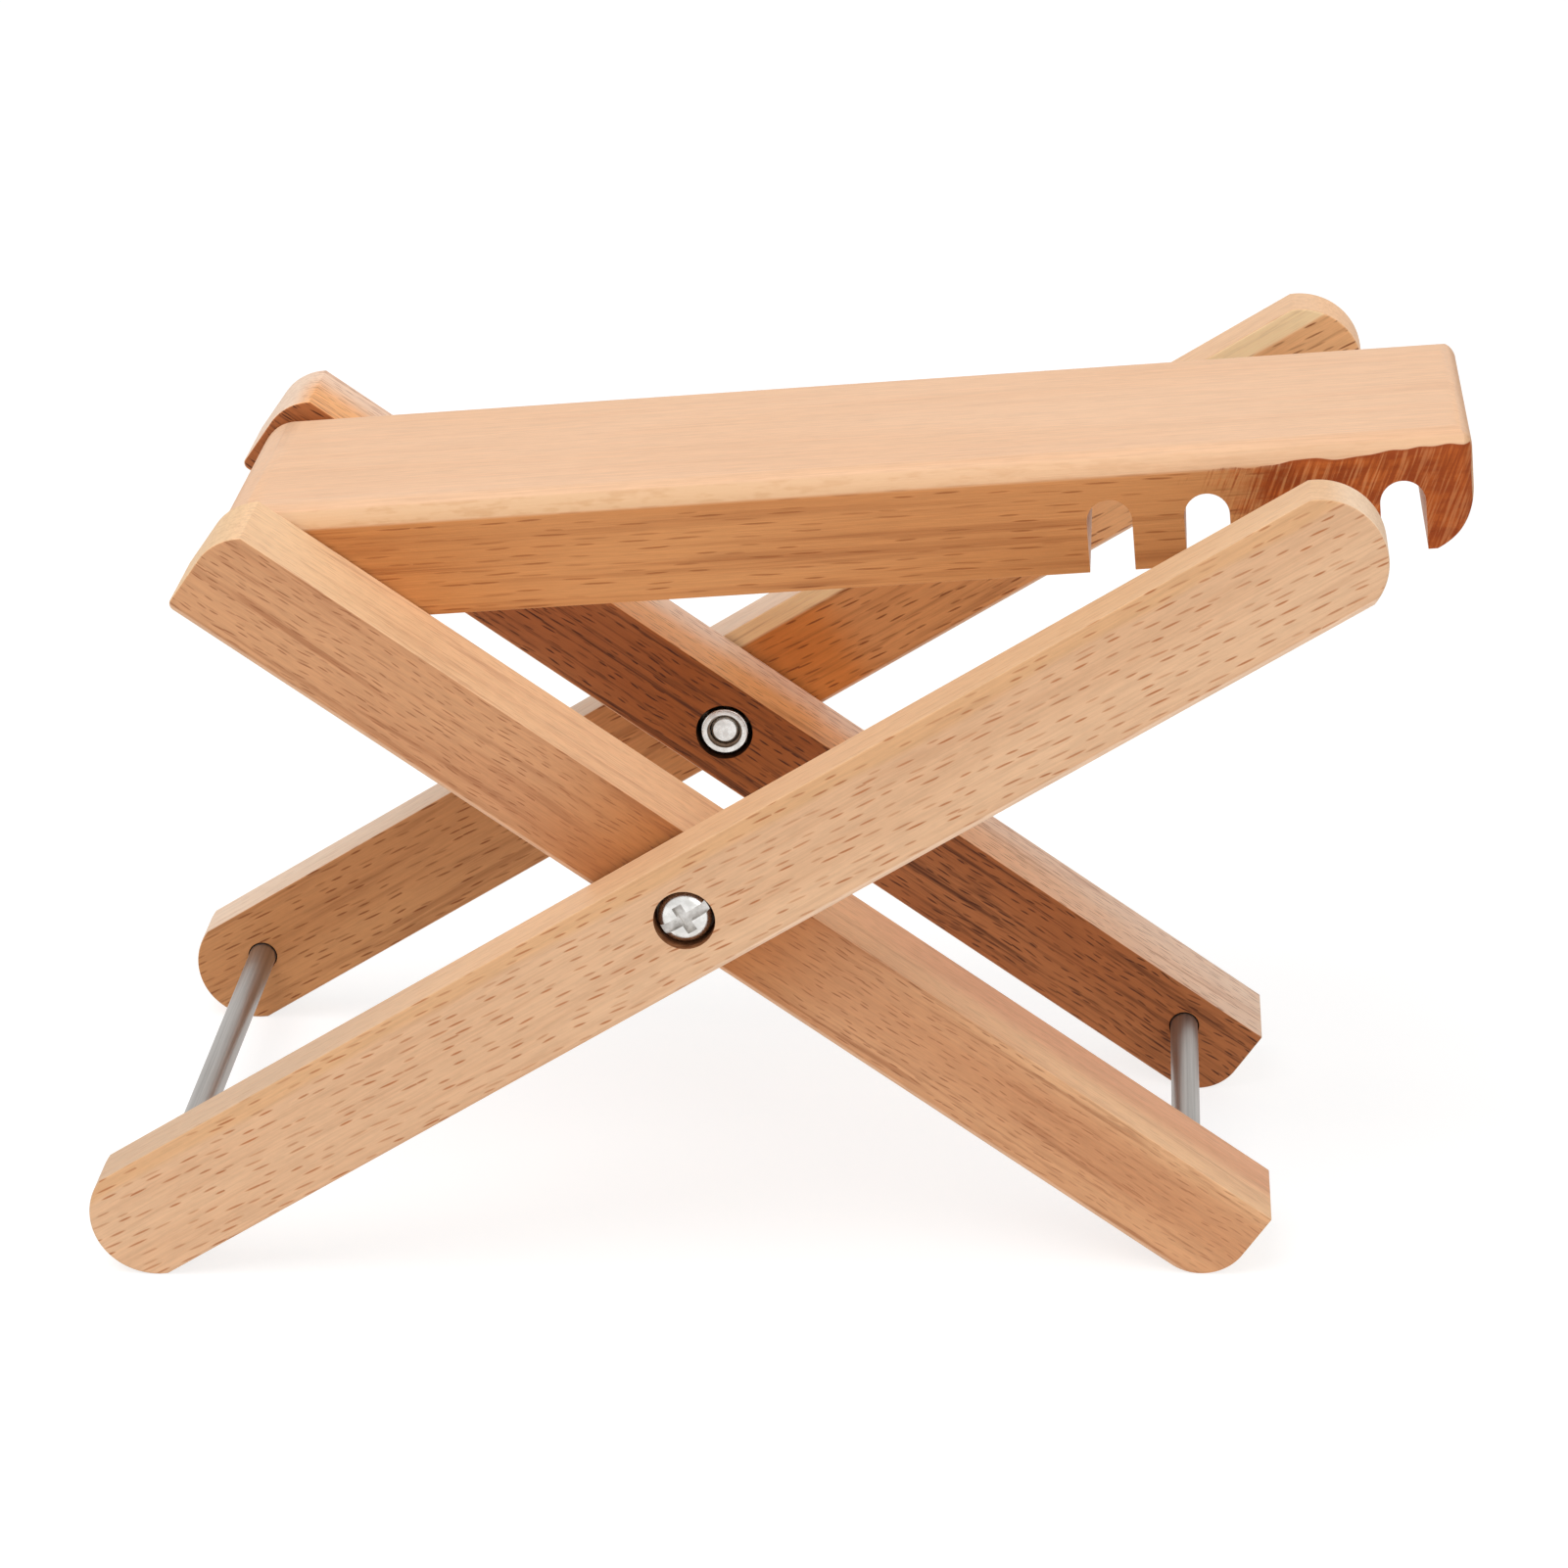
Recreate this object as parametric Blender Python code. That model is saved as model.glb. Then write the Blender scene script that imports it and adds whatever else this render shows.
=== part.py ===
"""Folding wooden footrest for guitar players.

Two pairs of legs cross like scissors on bolts. A foot board turns on a rod between the inner
legs, and one of the notches under its far end drops over a rod between the outer legs.
+X runs along the board from the hinge to the catch, +Y to the rear, +Z up. The origin lies on
the floor, in the middle of the footrest's box.
"""

import math

import bmesh
import bpy

# Driving dimensions, in metres and radians.
LEG_SPREAD = math.radians(66.85)  # angle between the legs while the board rests on its catch
OUTER_LEG_BELOW = 0.1424  # pivot to the rounded foot
OUTER_LEG_ABOVE = 0.1576  # pivot to the rounded upper end
OUTER_LEG_WIDTH = 0.0247
OUTER_LEG_THICK = 0.0124
OUTER_END_SWELL = 0.0010  # the end arcs' radius is half the width plus this
INNER_LEG_BELOW = 0.1369  # pivot to the foot
INNER_LEG_ABOVE = 0.1182  # pivot to the hinge end
INNER_LEG_WIDTH = 0.0207
INNER_LEG_THICK = 0.0228
INNER_TOP_SWELL = 0.0010  # the hinge end's arc radius is half the width plus this
INNER_TOP_RISE = 0.0013  # that arc's middle above the leg's middle line
LEG_EASE = 0.0008  # rounded long edges of the legs
LEG_GAP = 0.0014  # between an outer and an inner leg

BOARD_WIDTH = 0.0645
BOARD_THICK = 0.0240  # the hinge end is a half round of this thickness
BOARD_END_SHIFT = 0.0015  # hinge rod to the middle of that half round, towards the notches
BOARD_SIDE_GAP = 0.0005  # board to inner leg
BOARD_ROUND = 0.0055  # rounded long edges of the top
NOTCH_COUNT = 4
SEAT_NOTCH = 2  # the notch over the catch rod, counted from 0 at the hinge side
NOTCH_PITCH = 0.0193
NOTCH_ROOM = 0.0030  # notch width past the rod's diameter
NOTCH_DEPTH = 0.0149
SEAT_LEAN = math.radians(56.0)  # where the rod meets the notch's round top, from its middle to the hinge side
HOOK_LENGTH = 0.01419  # middle of the last notch to the board's end
HOOK_TIP = 0.0019  # flat left under the hook's long arc
HOOK_SHORT = 0.0004  # that flat above the board's underside
HOOK_ARC_RISE = 0.0005  # where the arc meets the end, above the board's middle
HOOK_TOP_RADIUS = 0.0030

ROD_DIAMETER = 0.0060
ROD_CHAMFER = 0.0005
OUTER_ROD_INSET = 0.0159  # rod axis to the end of the outer legs
OUTER_ROD_RISE = 0.0009  # rod axis above the outer legs' middle line
OUTER_ROD_SEAT = 0.0080  # depth of the blind holes
HINGE_INSET = 0.0119
INNER_FOOT_INSET = 0.0156
INNER_ROD_OFFSET = 0.0024  # hinge rod below, foot rod above the inner legs' middle line
INNER_ROD_SEAT = 0.0140

BOLT_DIAMETER = 0.0060
BOLT_TIP_CHAMFER = 0.0006
BOLT_TIP_SHORT = 0.0007  # the bolt's tip inside the nut's end
HEAD_RIM = 0.0022  # head past the shank
HEAD_HEIGHT = 0.0034
HEAD_EDGE = 0.0014  # straight side of the pan head
HEAD_SUNK = 0.0006  # the head's top under the leg's face
SLOT_DEPTH = 0.0014  # slot right across the head, along the leg
RECESS_SPAN = 0.0062  # the cross recess's second bar
RECESS_DEPTH = 0.0020
RECESS_BLADE = 0.0018
BORE_ROOM = 0.0004  # around nuts and washers in their counterbores
WASHER_THICK = 0.0008
SPACER_RIM = 0.0047  # width of the ring between the legs
NUT_WALL = 0.0020  # shank to the nut's flats
NUT_HEX_HEIGHT = 0.0042
COLLAR_WALL = 0.00065
NUT_COLLAR_HEIGHT = 0.0022
NUT_COLLAR_ROUND = 0.0006
NUT_LIP = 0.0004  # crimped over the nylon ring
MOUTH_ROOM = 0.0008  # around the shank, inside the lip
NUT_SUNK = 0.0005  # the nut's end under the leg's inner face
INSERT_WALL = 0.0007  # the nylon ring's width
INSERT_HEIGHT = 0.0010

GAP = 0.0003  # between pieces that touch
OVERRUN = 0.0020  # cutters stand this far past the faces they open
ARC_STEP = math.radians(9.0)
ROUND_STEPS = 32

# Places that follow from the driving dimensions.
QUARTER = math.pi / 2
OUTER_HALF = OUTER_LEG_WIDTH / 2
INNER_HALF = INNER_LEG_WIDTH / 2
OUTER_END_RADIUS = OUTER_HALF + OUTER_END_SWELL
INNER_TOP_RADIUS = INNER_HALF + INNER_TOP_SWELL
OUTER_ARC_BELOW = OUTER_LEG_BELOW - OUTER_END_RADIUS
OUTER_ARC_ABOVE = OUTER_LEG_ABOVE - OUTER_END_RADIUS
INNER_ARC_BELOW = INNER_LEG_BELOW - INNER_HALF


def outer_incline():
    """The outer legs' angle at which all four feet stand on the floor."""
    along = OUTER_ARC_BELOW + INNER_ARC_BELOW * math.cos(LEG_SPREAD)
    across = INNER_ARC_BELOW * math.sin(LEG_SPREAD)
    lift = (INNER_HALF - OUTER_END_RADIUS) / math.hypot(along, across)
    return math.atan2(across, along) + math.asin(lift)


OUTER_ANGLE = outer_incline()
INNER_ANGLE = LEG_SPREAD - OUTER_ANGLE
PIVOT_HEIGHT = OUTER_ARC_BELOW * math.sin(OUTER_ANGLE) + OUTER_END_RADIUS


def leaning(along, above, angle):
    """A point on a leg, from the pivot, once the leg leans at the angle."""
    x = along * math.cos(angle) - above * math.sin(angle)
    z = along * math.sin(angle) + above * math.cos(angle)
    return x, z


CATCH_ON_LEG = (OUTER_LEG_ABOVE - OUTER_ROD_INSET, OUTER_ROD_RISE)
FOOT_ON_LEG = (OUTER_ROD_INSET - OUTER_LEG_BELOW, OUTER_ROD_RISE)
HINGE_ON_LEG = (HINGE_INSET - INNER_LEG_ABOVE, -INNER_ROD_OFFSET)
INNER_FOOT_ON_LEG = (INNER_LEG_BELOW - INNER_FOOT_INSET, INNER_ROD_OFFSET)
CATCH = leaning(*CATCH_ON_LEG, OUTER_ANGLE)
FOOT = leaning(*FOOT_ON_LEG, OUTER_ANGLE)
HINGE = leaning(*HINGE_ON_LEG, -INNER_ANGLE)
INNER_FOOT = leaning(*INNER_FOOT_ON_LEG, -INNER_ANGLE)

ROD_RADIUS = ROD_DIAMETER / 2
ROD_HOLE_RADIUS = ROD_RADIUS + GAP
BOARD_TOP = BOARD_THICK / 2
BOARD_BOTTOM = -BOARD_THICK / 2
NOTCH_RADIUS = (ROD_DIAMETER + NOTCH_ROOM) / 2
NOTCH_ARC_Z = BOARD_BOTTOM + NOTCH_DEPTH - NOTCH_RADIUS
ROD_PLAY = NOTCH_RADIUS - ROD_RADIUS - GAP
ROD_LEAN = ROD_PLAY * math.sin(SEAT_LEAN)
SEAT_Z = NOTCH_ARC_Z + ROD_PLAY * math.cos(SEAT_LEAN)
SEAT_X = math.sqrt(math.dist(HINGE, CATCH) ** 2 - SEAT_Z**2)
FIRST_NOTCH_X = SEAT_X + ROD_LEAN - SEAT_NOTCH * NOTCH_PITCH
BOARD_END_X = FIRST_NOTCH_X + (NOTCH_COUNT - 1) * NOTCH_PITCH + HOOK_LENGTH
HOOK_RUN = HOOK_LENGTH - NOTCH_RADIUS - HOOK_TIP
HOOK_DROP = HOOK_ARC_RISE - BOARD_BOTTOM - HOOK_SHORT
HOOK_RADIUS = (HOOK_RUN**2 + HOOK_DROP**2) / (2 * HOOK_RUN)
BOARD_TILT = math.atan2(CATCH[1] - HINGE[1], CATCH[0] - HINGE[0]) - math.atan2(SEAT_Z, SEAT_X)

BOARD_SIDE = BOARD_WIDTH / 2
INNER_FACE = BOARD_SIDE + BOARD_SIDE_GAP
INNER_BACK = INNER_FACE + INNER_LEG_THICK
OUTER_BACK = INNER_BACK + LEG_GAP
OUTER_FACE = OUTER_BACK + OUTER_LEG_THICK

HOOK_CENTRE = (BOARD_END_X - HOOK_RADIUS, HOOK_ARC_RISE)
LEFT_REACH = OUTER_ARC_BELOW * math.cos(OUTER_ANGLE) + OUTER_END_RADIUS
LEG_REACH = OUTER_ARC_ABOVE * math.cos(OUTER_ANGLE) + OUTER_END_RADIUS
HOOK_REACH = HINGE[0] + leaning(*HOOK_CENTRE, BOARD_TILT)[0] + HOOK_RADIUS
RIGHT_REACH = max(HOOK_REACH, LEG_REACH)
PIVOT_X = (LEFT_REACH - RIGHT_REACH) / 2

# Radii around the bolt.
BOLT_RADIUS = BOLT_DIAMETER / 2
BOLT_HOLE_RADIUS = BOLT_RADIUS + GAP
HEAD_RADIUS = BOLT_RADIUS + HEAD_RIM
SPACER_RADIUS = BOLT_HOLE_RADIUS + SPACER_RIM
NUT_CORNER_RADIUS = (BOLT_RADIUS + NUT_WALL) / math.cos(math.pi / 6)
COUNTERBORE_RADIUS = NUT_CORNER_RADIUS + BORE_ROOM
WASHER_RADIUS = COUNTERBORE_RADIUS - BORE_ROOM
INSERT_RADIUS = BOLT_HOLE_RADIUS + INSERT_WALL
POCKET_RADIUS = INSERT_RADIUS + GAP
COLLAR_RADIUS = POCKET_RADIUS + COLLAR_WALL
MOUTH_RADIUS = BOLT_RADIUS + MOUTH_ROOM

# Depths of the bolt's stack, measured from the mid-plane outwards.
NUT_END = INNER_FACE + NUT_SUNK
NUT_BACK = NUT_END + NUT_COLLAR_HEIGHT + NUT_HEX_HEIGHT
NUT_FLOOR = NUT_BACK + GAP + WASHER_THICK + GAP
HEAD_TOP = OUTER_FACE - HEAD_SUNK
HEAD_SEAT = HEAD_TOP - HEAD_HEIGHT
HEAD_FLOOR = HEAD_SEAT - GAP - WASHER_THICK - GAP


def clear_scene():
    for obj in list(bpy.data.objects):
        bpy.data.objects.remove(obj, do_unlink=True)


def material(name, colour, roughness, metallic=0.0):
    finish = bpy.data.materials.new(name)
    finish.use_nodes = True
    shader = finish.node_tree.nodes["Principled BSDF"]
    shader.inputs["Base Color"].default_value = (*colour, 1.0)
    shader.inputs["Roughness"].default_value = roughness
    shader.inputs["Metallic"].default_value = metallic
    return finish


def empty(name, x, z):
    frame = bpy.data.objects.new(name, None)
    frame.location = (x, 0.0, z)
    bpy.context.scene.collection.objects.link(frame)
    return frame


def add_object(name, bm, parent, turn=0.0, finish=None):
    """An object from a bmesh, turned about its parent's Y axis."""
    bmesh.ops.recalc_face_normals(bm, faces=bm.faces)
    mesh = bpy.data.meshes.new(name)
    bm.to_mesh(mesh)
    bm.free()
    obj = bpy.data.objects.new(name, mesh)
    obj.rotation_euler = (0.0, turn, 0.0)
    obj.parent = parent
    if finish:
        mesh.materials.append(finish)
    bpy.context.scene.collection.objects.link(obj)
    return obj


def arc(centre, radius, start, end):
    """Points along an arc in a plane, both ends included."""
    steps = max(2, math.ceil(abs(end - start) / ARC_STEP))
    points = []
    for i in range(steps + 1):
        angle = start + (end - start) * i / steps
        points.append((centre[0] + radius * math.cos(angle), centre[1] + radius * math.sin(angle)))
    return points


def prism(corners, travel):
    """A bmesh prism from the corners of one flat end, along the travel."""
    bm = bmesh.new()
    face = bm.faces.new([bm.verts.new(corner) for corner in corners])
    grown = bmesh.ops.extrude_face_region(bm, geom=[face])
    moved = [part for part in grown["geom"] if isinstance(part, bmesh.types.BMVert)]
    bmesh.ops.translate(bm, verts=moved, vec=travel)
    return bm


def side_prism(outline, y_from, y_to):
    """A prism over an outline in the XZ plane."""
    return prism([(x, y_from, z) for x, z in outline], (0.0, y_to - y_from, 0.0))


def turned(profile, side=1, closed=False):
    """A bmesh turned about the Y axis. The profile holds radii and depths; a closed one makes a ring."""
    bm = bmesh.new()
    verts = [bm.verts.new((radius, side * depth, 0.0)) for radius, depth in profile]
    pairs = list(zip(verts, verts[1:]))
    if closed:
        pairs.append((verts[-1], verts[0]))
    edges = [bm.edges.new(pair) for pair in pairs]
    bmesh.ops.spin(
        bm,
        geom=verts + edges,
        cent=(0.0, 0.0, 0.0),
        axis=(0.0, 1.0, 0.0),
        angle=math.tau,
        steps=ROUND_STEPS,
        use_merge=True,
    )
    bmesh.ops.remove_doubles(bm, verts=bm.verts, dist=1e-6)
    return bm


def combine(target, name, bm, operation="DIFFERENCE"):
    """Cuts a hidden helper, given in the target's own frame, out of the target, or joins it."""
    helper = add_object(name, bm, target)
    helper.hide_render = True
    helper.display_type = "WIRE"
    boolean = target.modifiers.new(name, "BOOLEAN")
    boolean.operation = operation
    boolean.solver = "EXACT"
    boolean.object = helper


def ease(target, width):
    bevel = target.modifiers.new("eased_edges", "BEVEL")
    bevel.width = width
    bevel.segments = 2
    bevel.limit_method = "ANGLE"
    bevel.angle_limit = math.radians(60.0)


def outer_leg_outline():
    """Both ends are arcs a little flatter than half circles. The pivot is at 0, 0."""
    reach = math.asin(OUTER_HALF / OUTER_END_RADIUS)
    upper = arc((OUTER_ARC_ABOVE, 0.0), OUTER_END_RADIUS, -reach, reach)
    lower = arc((-OUTER_ARC_BELOW, 0.0), OUTER_END_RADIUS, math.pi - reach, math.pi + reach)
    return upper + lower


def inner_leg_outline():
    """The hinge end is rounded above and the foot below its middle; the other corners are square."""
    top_x = INNER_TOP_RADIUS - INNER_LEG_ABOVE
    reach = math.asin((INNER_HALF - INNER_TOP_RISE) / INNER_TOP_RADIUS)
    points = arc((top_x, INNER_TOP_RISE), INNER_TOP_RADIUS, math.pi - reach, math.pi)
    points.append((-INNER_LEG_ABOVE, -INNER_HALF))
    points += arc((INNER_ARC_BELOW, 0.0), INNER_HALF, -QUARTER, 0.0)
    points.append((INNER_LEG_BELOW, INNER_HALF))
    return points


def board_outline():
    """The board from the side, around the hinge axis at 0, 0."""
    points = arc((BOARD_END_SHIFT, 0.0), BOARD_TOP, QUARTER, math.pi + QUARTER)
    for i in range(NOTCH_COUNT):
        middle = FIRST_NOTCH_X + i * NOTCH_PITCH
        points.append((middle - NOTCH_RADIUS, BOARD_BOTTOM))
        points += arc((middle, NOTCH_ARC_Z), NOTCH_RADIUS, math.pi, 0.0)
        short = HOOK_SHORT if i == NOTCH_COUNT - 1 else 0.0
        points.append((middle + NOTCH_RADIUS, BOARD_BOTTOM + short))
    tip = math.atan2(-HOOK_DROP, HOOK_RADIUS - HOOK_RUN)
    points += arc(HOOK_CENTRE, HOOK_RADIUS, tip, 0.0)
    corner = (BOARD_END_X - HOOK_TOP_RADIUS, BOARD_TOP - HOOK_TOP_RADIUS)
    points += arc(corner, HOOK_TOP_RADIUS, 0.0, QUARTER)
    return points


def past(point, neighbour):
    """The line from the neighbour to the point, run on by the overrun."""
    length = math.dist(point, neighbour)
    return tuple(p + (p - n) / length * OVERRUN for p, n in zip(point, neighbour))


def round_edge_cutter(side):
    """Leaves a rounded long edge along the board's top."""
    curve = arc((BOARD_SIDE - BOARD_ROUND, BOARD_TOP - BOARD_ROUND), BOARD_ROUND, QUARTER, 0.0)
    first = past(curve[0], curve[1])
    last = past(curve[-1], curve[-2])
    far_y = BOARD_SIDE + 2 * OVERRUN
    far_z = BOARD_TOP + 2 * OVERRUN
    outline = [first] + curve[1:-1] + [last, (far_y, last[1]), (far_y, far_z), (first[0], far_z)]
    start = BOARD_BOTTOM - OVERRUN
    travel = BOARD_END_X + OVERRUN - start
    return prism([(start, side * y, z) for y, z in outline], (travel, 0.0, 0.0))


def add_board(parent, finish):
    bm = side_prism(board_outline(), -BOARD_SIDE, BOARD_SIDE)
    board = add_object("foot_board", bm, parent, turn=-BOARD_TILT, finish=finish)
    combine(board, "cut_round_edge_front", round_edge_cutter(-1))
    combine(board, "cut_round_edge_rear", round_edge_cutter(1))
    reach = BOARD_SIDE + OVERRUN
    bore = [(0.0, -reach), (ROD_HOLE_RADIUS, -reach), (ROD_HOLE_RADIUS, reach), (0.0, reach)]
    combine(board, "cut_hinge_bore", turned(bore))


def blind_hole(place, side, mouth, depth):
    """A rod's hole from a leg's face, open at its mouth."""
    start = mouth - OVERRUN
    floor = mouth + depth
    profile = [(0.0, start), (ROD_HOLE_RADIUS, start), (ROD_HOLE_RADIUS, floor), (0.0, floor)]
    bm = turned(profile, side)
    bmesh.ops.translate(bm, verts=bm.verts, vec=(place[0], 0.0, place[1]))
    return bm


def bolt_hole(side, wide_from, wide_to, end):
    """The bolt's hole with the counterbore that holds its head or its nut."""
    profile = [(0.0, wide_from), (COUNTERBORE_RADIUS, wide_from), (COUNTERBORE_RADIUS, wide_to)]
    profile += [(BOLT_HOLE_RADIUS, wide_to), (BOLT_HOLE_RADIUS, end), (0.0, end)]
    return turned(profile, side)


def add_outer_leg(label, side, parent, finish):
    bm = side_prism(outer_leg_outline(), side * OUTER_BACK, side * OUTER_FACE)
    leg = add_object(f"outer_leg_{label}", bm, parent, turn=-OUTER_ANGLE, finish=finish)
    ease(leg, LEG_EASE)
    catch_seat = blind_hole(CATCH_ON_LEG, side, OUTER_BACK, OUTER_ROD_SEAT)
    combine(leg, f"cut_catch_seat_{label}", catch_seat)
    foot_seat = blind_hole(FOOT_ON_LEG, side, OUTER_BACK, OUTER_ROD_SEAT)
    combine(leg, f"cut_foot_seat_{label}", foot_seat)
    hole = bolt_hole(side, OUTER_FACE + OVERRUN, HEAD_FLOOR, OUTER_BACK - OVERRUN)
    combine(leg, f"cut_head_bore_{label}", hole)


def add_inner_leg(label, side, parent, finish):
    bm = side_prism(inner_leg_outline(), side * INNER_FACE, side * INNER_BACK)
    leg = add_object(f"inner_leg_{label}", bm, parent, turn=INNER_ANGLE, finish=finish)
    ease(leg, LEG_EASE)
    hinge_seat = blind_hole(HINGE_ON_LEG, side, INNER_FACE, INNER_ROD_SEAT)
    combine(leg, f"cut_hinge_seat_{label}", hinge_seat)
    foot_seat = blind_hole(INNER_FOOT_ON_LEG, side, INNER_FACE, INNER_ROD_SEAT)
    combine(leg, f"cut_inner_foot_seat_{label}", foot_seat)
    hole = bolt_hole(side, INNER_FACE - OVERRUN, NUT_FLOOR, INNER_BACK + OVERRUN)
    combine(leg, f"cut_nut_bore_{label}", hole)


def add_rod(name, parent, place, seat_floor, finish):
    """A plain rod between two blind holes, with chamfered ends."""
    end = seat_floor - GAP
    neck = ROD_RADIUS - ROD_CHAMFER
    shoulder = end - ROD_CHAMFER
    profile = [(0.0, -end), (neck, -end), (ROD_RADIUS, -shoulder)]
    profile += [(ROD_RADIUS, shoulder), (neck, end), (0.0, end)]
    rod = add_object(name, turned(profile), parent, finish=finish)
    rod.location = (place[0], 0.0, place[1])


def recess_bar(side, top_span, floor_span, depth, turn):
    """One bar of the head's recess, narrower towards its floor, turned about the bolt's axis."""
    floor = HEAD_TOP - depth
    rise = HEAD_TOP + OVERRUN
    high_span = floor_span + (top_span - floor_span) * (depth + OVERRUN) / depth
    half = RECESS_BLADE / 2
    corners = [(-high_span / 2, rise), (high_span / 2, rise), (floor_span / 2, floor)]
    corners.append((-floor_span / 2, floor))
    bm = prism([(x, side * y, -half) for x, y in corners], (0.0, 0.0, RECESS_BLADE))
    for vert in bm.verts:
        vert.co.x, vert.co.z = leaning(vert.co.x, vert.co.z, turn)
    return bm


def add_bolt(label, side, parent, finish):
    """A pan-head bolt with a slotted cross recess, its head outwards."""
    radius = BOLT_RADIUS
    tip = NUT_END + BOLT_TIP_SHORT
    edge = HEAD_RADIUS
    dome = HEAD_HEIGHT - HEAD_EDGE
    profile = [(0.0, tip), (radius - BOLT_TIP_CHAMFER, tip), (radius, tip + BOLT_TIP_CHAMFER)]
    profile += [(radius, HEAD_SEAT), (edge, HEAD_SEAT)]
    for step in range(6):
        angle = QUARTER * step / 6
        spread = edge * math.sqrt(math.cos(angle))
        profile.append((spread, HEAD_SEAT + HEAD_EDGE + dome * math.sin(angle)))
    profile.append((0.0, HEAD_TOP))
    bolt = add_object(f"pivot_bolt_{label}", turned(profile, side), parent, turn=-OUTER_ANGLE, finish=finish)
    slot_span = 2 * (HEAD_RADIUS + OVERRUN)
    combine(bolt, f"cut_slot_{label}", recess_bar(side, slot_span, slot_span, SLOT_DEPTH, 0.0))
    cross_floor = RECESS_SPAN / 2
    cross = recess_bar(side, RECESS_SPAN, cross_floor, RECESS_DEPTH, QUARTER)
    combine(bolt, f"cut_cross_{label}", cross)


def add_nut(label, side, parent, finish):
    """A hexagon with a round collar crimped over its nylon ring."""
    corner = NUT_CORNER_RADIUS
    corners = []
    for i in range(6):
        angle = math.tau * i / 6
        corners.append((corner * math.cos(angle), side * NUT_BACK, corner * math.sin(angle)))
    hexagon = prism(corners, (0.0, -side * NUT_HEX_HEIGHT, 0.0))
    nut = add_object(f"pivot_nut_{label}", hexagon, parent, turn=INNER_ANGLE, finish=finish)

    radius = COLLAR_RADIUS
    inside_hexagon = NUT_BACK - NUT_HEX_HEIGHT / 2
    profile = [(0.0, inside_hexagon), (radius, inside_hexagon)]
    rounding = arc((radius - NUT_COLLAR_ROUND, 0.0), NUT_COLLAR_ROUND, 0.0, QUARTER)
    profile += [(r, NUT_END + NUT_COLLAR_ROUND - rise) for r, rise in rounding]
    profile.append((0.0, NUT_END))
    combine(nut, f"join_collar_{label}", turned(profile, side), "UNION")

    mouth = MOUTH_RADIUS
    pocket = POCKET_RADIUS
    pocket_end = NUT_END + NUT_LIP
    pocket_floor = pocket_end + GAP + INSERT_HEIGHT + GAP
    bore = [(0.0, NUT_END - OVERRUN), (mouth, NUT_END - OVERRUN), (mouth, pocket_end)]
    bore += [(pocket, pocket_end), (pocket, pocket_floor), (BOLT_HOLE_RADIUS, pocket_floor)]
    bore += [(BOLT_HOLE_RADIUS, NUT_BACK + OVERRUN), (0.0, NUT_BACK + OVERRUN)]
    combine(nut, f"cut_nut_thread_{label}", turned(bore, side))


def add_ring(name, side, radius, start, thickness, parent, finish):
    """A washer or ring around the bolt."""
    hole = BOLT_HOLE_RADIUS
    end = start + thickness
    profile = [(hole, start), (radius, start), (radius, end), (hole, end)]
    add_object(name, turned(profile, side, closed=True), parent, finish=finish)


def add_pivot(label, side, outer, inner, zinc, spacer, nylon):
    """One bolt with its washers, lock nut and nylon ring."""
    add_bolt(label, side, outer, zinc)
    start = HEAD_FLOOR + GAP
    add_ring(f"bolt_washer_{label}", side, WASHER_RADIUS, start, WASHER_THICK, outer, zinc)
    start = INNER_BACK + GAP
    add_ring(f"spacer_washer_{label}", side, SPACER_RADIUS, start, LEG_GAP - 2 * GAP, outer, spacer)
    start = NUT_BACK + GAP
    add_ring(f"nut_washer_{label}", side, WASHER_RADIUS, start, WASHER_THICK, inner, zinc)
    add_nut(label, side, inner, zinc)
    start = NUT_END + NUT_LIP + GAP
    add_ring(f"nut_insert_{label}", side, INSERT_RADIUS, start, INSERT_HEIGHT, inner, nylon)


def build():
    clear_scene()
    board_wood = material("board_wood", (0.80, 0.52, 0.34), 0.5)
    outer_wood = material("outer_leg_wood", (0.68, 0.42, 0.25), 0.55)
    inner_wood = material("inner_leg_wood", (0.62, 0.34, 0.18), 0.55)
    bright_rod = material("bright_rod", (0.50, 0.49, 0.47), 0.3, metallic=1.0)
    zinc = material("zinc_fastener", (0.75, 0.75, 0.73), 0.25, metallic=1.0)
    spacer = material("spacer_plastic", (0.55, 0.52, 0.46), 0.6)
    nylon = material("nut_nylon", (0.22, 0.19, 0.16), 0.5)

    outer = empty("outer_frame", PIVOT_X, PIVOT_HEIGHT)
    inner = empty("inner_frame", PIVOT_X, PIVOT_HEIGHT)
    hinge = empty("hinge_axis", PIVOT_X + HINGE[0], PIVOT_HEIGHT + HINGE[1])

    add_board(hinge, board_wood)
    for label, side in (("front", -1), ("rear", 1)):
        add_outer_leg(label, side, outer, outer_wood)
        add_inner_leg(label, side, inner, inner_wood)
        add_pivot(label, side, outer, inner, zinc, spacer, nylon)

    outer_floor = OUTER_BACK + OUTER_ROD_SEAT
    inner_floor = INNER_FACE + INNER_ROD_SEAT
    add_rod("catch_rod", outer, CATCH, outer_floor, bright_rod)
    add_rod("outer_foot_rod", outer, FOOT, outer_floor, bright_rod)
    add_rod("inner_foot_rod", inner, INNER_FOOT, inner_floor, bright_rod)
    add_rod("hinge_rod", hinge, (0.0, 0.0), inner_floor, bright_rod)


build()
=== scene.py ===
import math

import bmesh
import bpy
from mathutils import Matrix, Vector


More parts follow.
